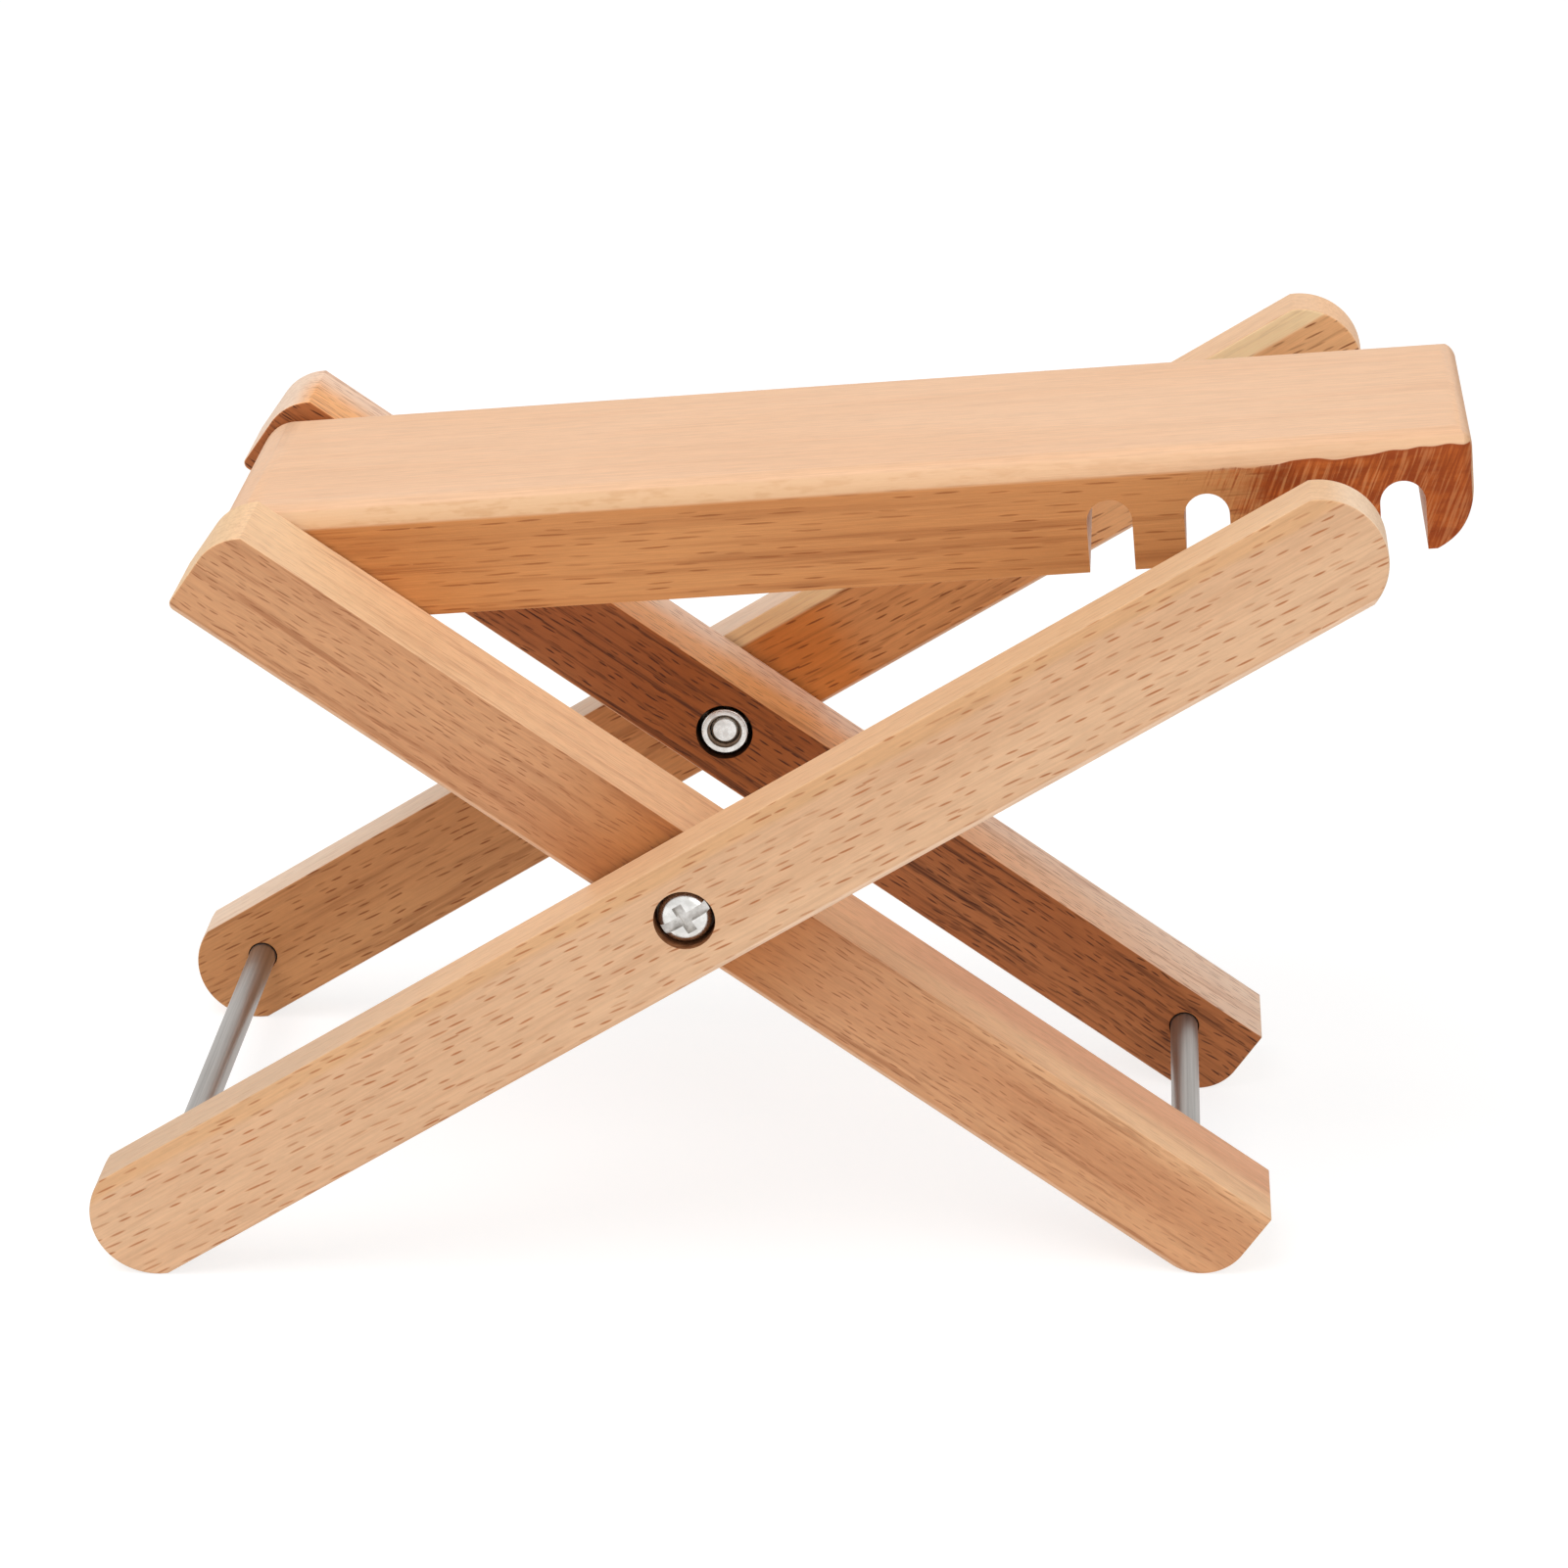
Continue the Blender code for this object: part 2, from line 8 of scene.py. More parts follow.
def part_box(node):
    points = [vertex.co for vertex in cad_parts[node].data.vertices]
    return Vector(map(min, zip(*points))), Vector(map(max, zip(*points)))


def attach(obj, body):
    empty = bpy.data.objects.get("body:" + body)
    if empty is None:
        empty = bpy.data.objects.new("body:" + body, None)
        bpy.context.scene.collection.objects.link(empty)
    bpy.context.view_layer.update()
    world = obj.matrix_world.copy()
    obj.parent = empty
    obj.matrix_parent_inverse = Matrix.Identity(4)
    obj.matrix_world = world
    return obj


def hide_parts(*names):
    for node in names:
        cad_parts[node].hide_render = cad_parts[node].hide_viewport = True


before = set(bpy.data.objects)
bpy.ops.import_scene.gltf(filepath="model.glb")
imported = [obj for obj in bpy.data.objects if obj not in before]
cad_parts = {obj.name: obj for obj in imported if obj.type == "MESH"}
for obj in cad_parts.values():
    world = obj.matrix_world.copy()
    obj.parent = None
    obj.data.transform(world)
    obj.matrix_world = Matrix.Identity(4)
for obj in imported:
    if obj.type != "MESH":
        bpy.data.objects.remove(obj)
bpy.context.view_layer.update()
scene = bpy.context.scene
scene.view_settings.view_transform = "Standard"
print("CAD frame in,", len(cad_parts), "nodes")


def middleOf(node):
    low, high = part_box(node)
    return (low + high) / 2


# axes of the pivot, the hinge and the rods, all read off the CAD
pivotAt = middleOf("pivot_bolt_front")
pivotAt.y = 0.0
hingeAt = middleOf("hinge_rod")
catchAt = middleOf("catch_rod")
outerFootAt = middleOf("outer_foot_rod")
innerFootAt = middleOf("inner_foot_rod")

innerRodLine = math.atan2(0.0048, 0.2276)  # the inner legs' two rods sit off their middle line
outerLean = math.atan2(catchAt.z - outerFootAt.z, catchAt.x - outerFootAt.x)
innerLean = math.atan2(innerFootAt.z - hingeAt.z, innerFootAt.x - hingeAt.x) - innerRodLine
boardTilt = math.radians(5.194)
sides = (("front", -1), ("rear", 1))


def leaningAt(point, lean):
    return Matrix.Translation(point) @ Matrix.Rotation(-lean, 4, "Y")


outerPlace = leaningAt(pivotAt, outerLean)
innerPlace = leaningAt(pivotAt, innerLean)
boardPlace = leaningAt(hingeAt, boardTilt)

# camera, floor and lamps

view = dict(
    fromPivot=(0.08035, -0.96841, 0.39380),
    lookDown=21.77,
    lookAside=3.67,
    sensor=36.0,
    lens=114.38,
    shift=(-0.0094, -0.0131),
)


def addCamera():
    data = bpy.data.cameras.new("footrestCamera")
    data.sensor_width = view["sensor"]
    data.lens = view["lens"]
    data.shift_x, data.shift_y = view["shift"]
    camera = bpy.data.objects.new("footrestCamera", data)
    camera.location = pivotAt + Vector(view["fromPivot"])
    down = math.radians(90 - view["lookDown"])
    camera.rotation_euler = (down, 0.0, math.radians(view["lookAside"]))
    scene.collection.objects.link(camera)
    scene.camera = camera


lights = dict(
    roomStrength=0.50,
    aimAt=(0.0, 0.0, 0.09),
    floorSize=8.0,
    floorWhite=0.90,
    floorGlow=0.76,  # to the camera the floor is this much plain white
    floorShade=0.36,  # plus this much of its own shading, so a faint shadow stays
    panels=(
        # name, place, size, watts
        ("overheadPanel", (-0.45, -0.55, 1.75), 1.5, 17.0),
        ("frontPanel", (0.9, -1.6, 0.9), 1.2, 6.0),
    ),
)


def put(tree, kind, **settings):
    node = tree.nodes.new("ShaderNode" + kind)
    for key, value in settings.items():
        setattr(node, key, value)
    return node


def feed(tree, socket, value):
    if isinstance(value, bpy.types.NodeSocket):
        tree.links.new(value, socket)
    else:
        socket.default_value = value


def mathOf(tree, how, *values):
    node = put(tree, "Math", operation=how)
    for socket, value in zip(node.inputs, values):
        feed(tree, socket, value)
    return node.outputs[0]


def showPlain(tree, lit, shown, output):
    # camera, mirror and clear rays all see the plain background
    path = put(tree, "LightPath")
    seen = mathOf(tree, "MAXIMUM", path.outputs["Is Camera Ray"], path.outputs["Is Glossy Ray"])
    pick = put(tree, "MixShader")
    feed(tree, pick.inputs[0], mathOf(tree, "MAXIMUM", seen, path.outputs["Is Transmission Ray"]))
    tree.links.new(lit.outputs[0], pick.inputs[1])
    tree.links.new(shown.outputs[0], pick.inputs[2])
    tree.links.new(pick.outputs[0], tree.nodes[output].inputs["Surface"])


def grey(level):
    return (level, level, level, 1.0)


def objectOf(bm, name):
    mesh = bpy.data.meshes.new(name)
    bm.to_mesh(mesh)
    bm.free()
    holder = bpy.data.objects.new(name, mesh)
    scene.collection.objects.link(holder)
    return holder


def freshMaterial(name):
    material = bpy.data.materials.new(name)
    material.use_nodes = True
    return material, material.node_tree, material.node_tree.nodes["Principled BSDF"]


def addWorld():
    world = bpy.data.worlds.new("paleRoom")
    world.use_nodes = True
    scene.world = world
    tree = world.node_tree
    lit = tree.nodes["Background"]
    lit.inputs["Color"].default_value = grey(1.0)
    lit.inputs["Strength"].default_value = lights["roomStrength"]
    shown = put(tree, "Background")
    shown.inputs["Color"].default_value = grey(1.0)
    showPlain(tree, lit, shown, "World Output")


def addFloor():
    bm = bmesh.new()
    bmesh.ops.create_grid(bm, x_segments=2, y_segments=2, size=lights["floorSize"] / 2)
    floor = objectOf(bm, "paleFloor")
    material, tree, _ = freshMaterial("paleFloor")
    plain = put(tree, "BsdfDiffuse")
    plain.inputs["Color"].default_value = grey(lights["floorWhite"])
    glow = put(tree, "Emission")
    glow.inputs["Strength"].default_value = lights["floorGlow"]
    shade = put(tree, "BsdfDiffuse")
    shade.inputs["Color"].default_value = grey(lights["floorShade"])
    shown = put(tree, "AddShader")
    tree.links.new(glow.outputs[0], shown.inputs[0])
    tree.links.new(shade.outputs[0], shown.inputs[1])
    showPlain(tree, plain, shown, "Material Output")
    floor.data.materials.append(material)


def addPanels():
    for name, place, size, watts in lights["panels"]:
        lamp = bpy.data.lights.new(name, "AREA")
        lamp.shape = "DISK"
        lamp.size = size
        lamp.energy = watts
        panel = bpy.data.objects.new(name, lamp)
        panel.location = place
        aim = Vector(lights["aimAt"]) - Vector(place)
        panel.rotation_euler = aim.to_track_quat("-Z", "Y").to_euler()
        scene.collection.objects.link(panel)


addCamera()
addWorld()
addFloor()
addPanels()
print("camera, floor and lamps set")

# node helpers for the finishes


def paint(red, green, blue):
    # a colour as read off a screen, 0 to 255, turned linear for the shader
    linear = []
    for part in (red, green, blue):
        part = part / 255
        linear.append(part / 12.92 if part <= 0.04045 else ((part + 0.055) / 1.055) ** 2.4)
    return (*linear, 1.0)


def noiseOf(tree, vector, scale=None, detail=2.0, rough=0.5, bend=0.0):
    if scale:
        sized = put(tree, "VectorMath", operation="MULTIPLY")
        feed(tree, sized.inputs[0], vector)
        sized.inputs[1].default_value = scale
        vector = sized.outputs[0]
    node = put(tree, "TexNoise")
    feed(tree, node.inputs["Vector"], vector)
    for key, value in (("Scale", 1.0), ("Detail", detail), ("Roughness", rough), ("Distortion", bend)):
        node.inputs[key].default_value = value
    return node.outputs[0]


def spreadOf(tree, value, low, high, start=0.0, end=1.0):
    node = put(tree, "MapRange", interpolation_type="SMOOTHSTEP")
    keys = ("Value", "From Min", "From Max", "To Min", "To Max")
    for key, amount in zip(keys, (value, low, high, start, end)):
        feed(tree, node.inputs[key], amount)
    return node.outputs[0]


def mixOf(tree, share, first, second, blend="MIX"):
    node = put(tree, "Mix", data_type="RGBA", blend_type=blend)
    feed(tree, node.inputs[0], share)
    feed(tree, node.inputs[6], first)
    feed(tree, node.inputs[7], second)
    return node.outputs[2]


def toneOf(tree, share, look, first, second):
    return mixOf(tree, share, paint(*look[first]), paint(*look[second]))


def times(tree, first, *others):
    for other in others:
        first = mathOf(tree, "MULTIPLY", first, other)
    return first


def faded(tree, mask, value, span):
    return times(tree, mask, spreadOf(tree, value, *span))


def restOf(tree, share):
    return mathOf(tree, "SUBTRACT", 1.0, share)


def partsOf(tree, vector):
    node = put(tree, "SeparateXYZ")
    feed(tree, node.inputs[0], vector)
    return node.outputs[0], node.outputs[1], node.outputs[2]


def joined(tree, x, y, z=0.0):
    node = put(tree, "CombineXYZ")
    for socket, value in zip(node.inputs, (x, y, z)):
        feed(tree, socket, value)
    return node.outputs[0]


def objectNoise(tree, scale, detail=2.0, rough=0.5):
    coord = put(tree, "TexCoord")
    return noiseOf(tree, coord.outputs["Object"], scale, detail, rough)


def coat(tree, shader, colour, rough, lift, rise, shine=0.5, metal=0.0):
    shader.inputs["Specular IOR Level"].default_value = shine
    shader.inputs["Metallic"].default_value = metal
    feed(tree, shader.inputs["Base Color"], colour)
    feed(tree, shader.inputs["Roughness"], rough)
    bump = put(tree, "Bump")
    bump.inputs["Strength"].default_value = 1.0
    bump.inputs["Distance"].default_value = rise
    feed(tree, bump.inputs["Height"], lift)
    tree.links.new(bump.outputs[0], shader.inputs["Normal"])


# beech, shared by all wooden pieces; scales are per metre along, through and across the grain

timber = dict(
    bandScale=(6, 45, 60), bandBend=0.6, bandSpread=(0.32, 0.68), bandPart=0.65,
    driftScale=(11, 16, 18), driftSpread=(0.30, 0.70), driftPart=0.35,
    streakSpread=(0.48, 0.72), swayScale=(60, 35, 35), wanderScale=(25, 1, 1),
    fibreScale=(70, 2400, 2800), fibreShade=(0.25, 0.75, 0.93, 1.05),
    poreScale=(240, 700, 900), poreSpread=(0.36, 0.70),
    cellJitter=0.85, dropSoft=0.05,
    fleckLengths=(0.55, 1.0), fleckDepths=(0.45, 1.0), fleckEdge=(1.0, 0.2),
    # how far a surface turns before it counts as an end, the inside or an edge of the side
    endTurn=(0.55, 0.92), insideTurn=(0.5, 0.9), edgeTurn=(0.12, 0.30),
    insideEndMost=0.85,
    lineWide=(0.00040, 0.00005), lineShare=0.14,
    paleFade=(0.00010, -0.00040), paleShare=0.80,
    roughSwing=0.10, streakSink=0.6, fleckSink=0.5, rise=0.00006, shine=0.25,
)


def surfaceOf(tree, look):
    # where a point lies on the piece's own axes, and which way it faces
    coord = put(tree, "TexCoord")
    turn = (0.0, look["turn"], 0.0)
    place = put(tree, "Mapping", vector_type="POINT")
    place.inputs["Rotation"].default_value = turn
    place.inputs["Location"].default_value = -(Matrix.Rotation(look["turn"], 3, "Y") @ look["at"])
    tree.links.new(coord.outputs["Object"], place.inputs["Vector"])
    facing = put(tree, "Mapping", vector_type="VECTOR")
    facing.inputs["Rotation"].default_value = turn
    tree.links.new(coord.outputs["Normal"], facing.inputs["Vector"])
    slid = put(tree, "VectorMath", operation="ADD")
    feed(tree, slid.inputs[0], place.outputs[0])
    slid.inputs[1].default_value = look["slide"]

    length, depth, up = partsOf(tree, place.outputs[0])
    toward = partsOf(tree, facing.outputs[0])
    sideways = mathOf(tree, "ABSOLUTE", toward[1])
    inward = spreadOf(tree, times(tree, toward[1], look["inward"]), *timber["insideTurn"])
    onEnd = spreadOf(tree, mathOf(tree, "ABSOLUTE", toward[0]), *timber["endTurn"])
    return {
        "spot": place.outputs[0], "wood": slid.outputs[0], "toward": toward, "sideways": sideways,
        "length": length, "depth": mathOf(tree, "ABSOLUTE", depth), "up": up,
        "onSide": spreadOf(tree, sideways, *look["sideTurn"]),
        "onEnd": onEnd, "onFlat": restOf(tree, onEnd), "inward": inward, "outward": restOf(tree, inward),
    }


def flecks(tree, along, across, look):
    # short dark ray flecks: one thin dash in most of a field of stretched cells
    slanted = mathOf(tree, "MULTIPLY_ADD", along, look["fleckSlant"], across)
    u = mathOf(tree, "DIVIDE", along, look["cellLong"])
    v = mathOf(tree, "DIVIDE", slanted, look["cellWide"])
    cells = put(tree, "TexVoronoi", voronoi_dimensions="2D")
    feed(tree, cells.inputs["Vector"], joined(tree, u, v))
    cells.inputs["Scale"].default_value = 1.0
    cells.inputs["Randomness"].default_value = timber["cellJitter"]
    home = partsOf(tree, cells.outputs["Position"])
    pick = partsOf(tree, cells.outputs["Color"])
    drop = look["fleckDrop"]
    kept = spreadOf(tree, pick[0], drop, drop + timber["dropSoft"])
    stretch = spreadOf(tree, pick[2], 0.0, 1.0, *timber["fleckLengths"])
    lengthwise = times(tree, mathOf(tree, "SUBTRACT", u, home[0]), look["cellLong"] / look["fleckHalf"])
    lengthwise = mathOf(tree, "DIVIDE", lengthwise, stretch)
    sideways = times(tree, mathOf(tree, "SUBTRACT", v, home[1]), look["cellWide"] / look["fleckThin"])
    reach = mathOf(tree, "ADD", times(tree, lengthwise, lengthwise), times(tree, sideways, sideways))
    depth = spreadOf(tree, pick[1], 0.0, 1.0, *timber["fleckDepths"])
    return times(tree, spreadOf(tree, reach, *timber["fleckEdge"]), depth, kept)


def fleckField(tree, look, at):
    along, deep, across = partsOf(tree, at["wood"])
    sway = noiseOf(tree, at["wood"], timber["swayScale"], detail=1.0)
    sideFlecks = flecks(tree, along, mathOf(tree, "MULTIPLY_ADD", sway, look["wave"], across), look)
    topFlecks = times(tree, flecks(tree, along, deep, look), look["topFlecks"])
    both = put(tree, "Mix", data_type="FLOAT")
    feed(tree, both.inputs[0], at["onSide"])
    feed(tree, both.inputs[2], topFlecks)
    feed(tree, both.inputs[3], sideFlecks)
    mask = times(tree, both.outputs[0], at["onFlat"])
    if "fleckFade" in look:
        # fainter toward one end
        mask = faded(tree, mask, at["length"], look["fleckFade"])
    return mask


def tinted(tree, share, colour, tint):
    return mixOf(tree, share, colour, (*tint, 1.0), "MULTIPLY")


def sideTone(tree, look, at, tone):
    length = at["length"]
    side = toneOf(tree, tone, look, "side", "sideDeep")
    # the inside faces take darker copies of the side tones: painted shade, deepest on the rear legs,
    # whose insides face the front
    inside = toneOf(tree, tone, look, "inside", "insideDeep")
    # the inside darker toward one end: painted shade
    if "insideTint" in look:
        share = spreadOf(tree, length, *look["insideTintFrom"])
        inside = tinted(tree, share, inside, look["insideTint"])
    # and paler toward one end: painted light where the shade lifts
    if "insideEnd" in look:
        share = spreadOf(tree, length, *look["insideEndFrom"], 0.0, timber["insideEndMost"])
        inside = mixOf(tree, share, inside, paint(*look["insideEnd"]))
    side = mixOf(tree, at["inward"], side, inside)
    if "sideTint" in look:
        # the outward side is a little darker toward one end: painted shade toward the hinge end
        share = faded(tree, at["outward"], length, look["sideTintFrom"])
        side = tinted(tree, share, side, look["sideTint"])
    if "crossingShadeTint" in look:
        # both sides are warmer and darker close to the crossing: painted contact shade with painted warm
        # light bounced between the parts
        offset = mathOf(tree, "ABSOLUTE", mathOf(tree, "SUBTRACT", length, look["crossingShadeAt"]))
        side = tinted(tree, spreadOf(tree, offset, *look["crossingShadeFrom"]), side, look["crossingShadeTint"])
    return side


def topTone(tree, look, at, tone):
    top = toneOf(tree, tone, look, "top", "topDeep")
    if "topTint" in look:
        share = spreadOf(tree, at["length"], *look["topTintFrom"])
        if "topTintDeep" in look:
            share = faded(tree, share, at["depth"], look["topTintDeep"])
        top = tinted(tree, share, top, look["topTint"])
    return top


def bandMask(tree, look, at):
    # a streak along the upper part of one side: grain on the outward side, a painted highlight of the
    # rounded top edge where it is on the inside
    wander = noiseOf(tree, at["wood"], timber["wanderScale"], detail=1.0)
    height = mathOf(tree, "MULTIPLY_ADD", wander, look["bandWander"], at["up"])
    mask = times(tree, spreadOf(tree, height, *look["bandFrom"]), at["onSide"], look["bandShare"])
    shown = at["inward"] if look["bandInside"] else at["outward"]
    return times(tree, mask, shown, spreadOf(tree, at["length"], *look["bandAlong"]))


def floorLitEdge(tree, look, at, colour):
    # the rounded lower edge of one side is pale under a thin dark line: a painted reflection of the
    # floor, below a painted shade line
    gap = mathOf(tree, "SUBTRACT", at["up"], look["lowFrom"])
    shown = at["inward"] if look["lowInside"] else at["outward"]
    mask = times(tree, spreadOf(tree, at["sideways"], *timber["edgeTurn"]), shown)
    mask = faded(tree, mask, at["length"], look["lowAlong"])
    line = spreadOf(tree, mathOf(tree, "ABSOLUTE", gap), *timber["lineWide"])
    line = times(tree, line, mask, timber["lineShare"])
    colour = mixOf(tree, line, colour, paint(*look["fleck"]))
    low = times(tree, spreadOf(tree, gap, *timber["paleFade"]), mask, timber["paleShare"])
    return mixOf(tree, low, colour, paint(*look["lowEdgeLit"]))


def grain(tree, look):
    # tone drift, grain bands, fine streaks and flecks, all along the piece
    at = surfaceOf(tree, look)
    wood, onSide, inward = at["wood"], at["onSide"], at["inward"]
    bands = noiseOf(tree, wood, timber["bandScale"], bend=timber["bandBend"])
    bands = spreadOf(tree, bands, *timber["bandSpread"])
    drift = noiseOf(tree, wood, timber["driftScale"], detail=1.0)
    drift = spreadOf(tree, drift, *timber["driftSpread"])
    streaks = noiseOf(tree, wood, look["streakScale"], detail=3.0, rough=0.6, bend=look["bend"])
    streaks = spreadOf(tree, streaks, *timber["streakSpread"])
    streakShare = spreadOf(tree, onSide, 0.0, 1.0, *look["streakShare"])
    streakMask = times(tree, streaks, at["onFlat"], streakShare)
    fibres = noiseOf(tree, wood, timber["fibreScale"], rough=0.6)
    pores = noiseOf(tree, wood, timber["poreScale"], rough=0.6)
    pores = spreadOf(tree, pores, *timber["poreSpread"])
    fleckMask = fleckField(tree, look, at)

    drift = times(tree, drift, timber["driftPart"])
    tone = mathOf(tree, "MULTIPLY_ADD", bands, timber["bandPart"], drift)
    colour = mixOf(tree, onSide, topTone(tree, look, at, tone), sideTone(tree, look, at, tone))
    if "band" in look:
        band = bandMask(tree, look, at)
        colour = mixOf(tree, band, colour, paint(*look["band"]))
        if look["bandInside"]:
            fleckMask = times(tree, fleckMask, restOf(tree, band))  # this one has no flecks
    cut = toneOf(tree, pores, look, "end", "endDeep")
    colour = mixOf(tree, at["onEnd"], colour, cut)
    # streaks and flecks on the inside faces take darker copies too: painted shade
    lines = toneOf(tree, inward, look, "streak", "insideStreak")
    lines = mixOf(tree, onSide, paint(*look["topStreak"]), lines)
    colour = mixOf(tree, streakMask, colour, lines)
    dashes = toneOf(tree, inward, look, "fleck", "insideFleck")
    colour = mixOf(tree, times(tree, fleckMask, look["fleckShare"]), colour, dashes)
    # painted floor light on the lower edge, with its painted shade line
    if "lowEdgeLit" in look:
        colour = floorLitEdge(tree, look, at, colour)
    shade = spreadOf(tree, fibres, *timber["fibreShade"])
    shade = times(tree, shade, spreadOf(tree, pores, 0.0, 1.0, 1.0 + look["sand"], 1.0 - look["sand"]))
    colour = mixOf(tree, 1.0, colour, joined(tree, shade, shade, shade), "MULTIPLY")

    swing = timber["roughSwing"]
    rough = mathOf(tree, "MULTIPLY_ADD", fibres, swing, look["rough"] - swing / 2)
    lift = mathOf(tree, "SUBTRACT", fibres, times(tree, streakMask, timber["streakSink"]))
    lift = mathOf(tree, "SUBTRACT", lift, times(tree, fleckMask, timber["fleckSink"]))
    return {**at, "colour": colour, "rough": rough, "lift": lift}


def beech(name, look):
    material, tree, shader = freshMaterial(name)
    made = grain(tree, look)
    coat(tree, shader, made["colour"], made["rough"], made["lift"], timber["rise"], timber["shine"])
    return material


# mesh helpers

squareTurn = 60  # degrees, past which an edge is eased
meldWithin = 1e-7
boreSlack = 0.00002


def sweep(bm, start, centre, angle, steps):
    # one vertex swept round a centre, counter-clockwise seen from the front
    first = bm.verts.new((start[0], 0.0, start[1]))
    middle = (centre[0], 0.0, centre[1])
    swept = bmesh.ops.spin(bm, geom=[first], cent=middle, axis=(0, -1, 0), angle=angle, steps=steps)
    last = [v for v in swept["geom_last"] if isinstance(v, bmesh.types.BMVert)][0]
    return first, last


def closeOutline(bm, stretches):
    # straight edges from each stretch's end to the next one's start, then one face
    for (_, last), (first, _) in zip(stretches, stretches[1:] + stretches[:1]):
        if last is not first:
            bm.edges.new((last, first))
    return bmesh.ops.contextual_create(bm, geom=bm.edges[:])["faces"][0]


def thicken(bm, face, start, end):
    bmesh.ops.translate(bm, verts=bm.verts, vec=(0.0, start, 0.0))
    grown = bmesh.ops.extrude_face_region(bm, geom=[face])["geom"]
    moved = [g for g in grown if isinstance(g, bmesh.types.BMVert)]
    bmesh.ops.translate(bm, verts=moved, vec=(0.0, end - start, 0.0))
    bmesh.ops.recalc_face_normals(bm, faces=bm.faces)


def easeEdges(bm, edges, width, steps):
    bmesh.ops.bevel(
        bm, geom=edges, offset=width, offset_type="OFFSET", segments=steps, profile=0.5,
        affect="EDGES", material=-1, clamp_overlap=True,
    )


def sharpEdges(bm, degrees):
    limit = math.radians(degrees)
    return [e for e in bm.edges if e.is_manifold and e.calc_face_angle(0.0) > limit]


def mend(bm, within):
    bmesh.ops.remove_doubles(bm, verts=bm.verts, dist=within)
    bmesh.ops.recalc_face_normals(bm, faces=bm.faces)


def lathe(profile, side, at=(0.0, 0.0), steps=48):
    # profile points are (radius, distance from the middle plane)
    bm = bmesh.new()
    verts = [bm.verts.new((at[0] + radius, side * reach, at[1])) for radius, reach in profile]
    edges = [bm.edges.new(pair) for pair in zip(verts, verts[1:])]
    bmesh.ops.spin(
        bm, geom=verts + edges, cent=(at[0], 0.0, at[1]), axis=(0, 1, 0),
        angle=math.tau, steps=steps, use_merge=True,
    )
    mend(bm, meldWithin)
    return bm


def bar(size, centre):
    bm = bmesh.new()
    bmesh.ops.create_cube(bm, size=1.0)
    bmesh.ops.scale(bm, vec=size, verts=bm.verts)
    bmesh.ops.translate(bm, vec=centre, verts=bm.verts)
    return bm


def dropObject(holder):
    mesh = holder.data
    bpy.data.objects.remove(holder)
    bpy.data.meshes.remove(mesh)


def shapedMesh(holder):
    # the mesh as its modifiers leave it
    shaped = holder.evaluated_get(bpy.context.evaluated_depsgraph_get())
    result = bmesh.new()
    result.from_mesh(shaped.to_mesh())
    shaped.to_mesh_clear()
    dropObject(holder)
    return result


def carve(blank, tool, how="DIFFERENCE"):
    blankObject = objectOf(blank, "blank")
    toolObject = objectOf(tool, "tool")
    cut = blankObject.modifiers.new("cut", "BOOLEAN")
    cut.operation = how
    cut.solver = "EXACT"
    cut.object = toolObject
    result = shapedMesh(blankObject)
    dropObject(toolObject)
    bmesh.ops.remove_doubles(result, verts=result.verts, dist=meldWithin)
    return result


def easeLeg(bm, leg):
    # lower edges are rounded over, the others only broken
    weight = bm.edges.layers.float.new("bevel_weight_edge")
    least = leg["ease"] / leg["lowEase"]
    for edge in sharpEdges(bm, squareTurn):
        down = max(-face.normal.z for face in edge.link_faces)
        edge[weight] = least + (1.0 - least) * min(max(down, 0.0), 1.0)
    holder = objectOf(bm, "easedLeg")
    bevel = holder.modifiers.new("eased", "BEVEL")
    bevel.limit_method = "WEIGHT"
    bevel.width = leg["lowEase"]
    bevel.segments = leg["easeSteps"]
    return shapedMesh(holder)


def finishPiece(bm, name, place, materials, body, nodes, sharp=40):
    bmesh.ops.transform(bm, matrix=place, verts=bm.verts)
    limit = math.radians(sharp)
    for face in bm.faces:
        face.smooth = True
    for edge in bm.edges:
        edge.smooth = edge.calc_face_angle(0.0) < limit
    piece = objectOf(bm, name)
    for material in materials:
        piece.data.materials.append(material)
    even = piece.modifiers.new("evenNormals", "WEIGHTED_NORMAL")
    even.keep_sharp = True
    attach(piece, body)
    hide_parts(*nodes)
    print("made", name, len(piece.data.polygons), "faces")


def boreFaces(bm, radius, at=(0.0, 0.0)):
    # walls and floor of a bored hole get the second material, wood painted dark as shade
    reach = radius + boreSlack
    for face in bm.faces:
        if all(math.hypot(v.co.x - at[0], v.co.z - at[1]) < reach for v in face.verts):
            face.material_index = 1


cutClear = 0.002  # cutting tools stand this far clear of the piece


def boreLeg(bm, leg, side, mouth, far):
    # a counterbore for the head or nut, the bolt hole, and blind holes for the rods
    bore, hole, floor = leg["bore"], leg["boltHole"], leg["boreFloor"]
    drill = [(0.0, mouth), (bore, mouth), (bore, floor), (hole, floor), (hole, far), (0.0, far)]
    bm = carve(bm, lathe(drill, side))
    start, hole, floor = min(mouth, far), leg["rodHole"], leg["rodFloor"]
    for at in leg["rods"]:
        seat = [(0.0, start), (hole, start), (hole, floor), (0.0, floor)]
        bm = carve(bm, lathe(seat, side, at))
        boreFaces(bm, hole, at)
    boreFaces(bm, bore)
    return bm


# the drilled walls round the bolt heads and nuts, painted dark: painted shade deep in the bores, darkest
# round the nuts

boreLook = dict(
    headDark=(112, 66, 38), headLit=(156, 104, 68),
    nutDark=(56, 32, 18), nutLit=(94, 58, 34),
    ringScale=(500, 2600, 500), ringSpread=(0.35, 0.7),
    roughSpread=(0.2, 0.8, 0.70, 0.90), shine=0.15, rise=0.00003,
)


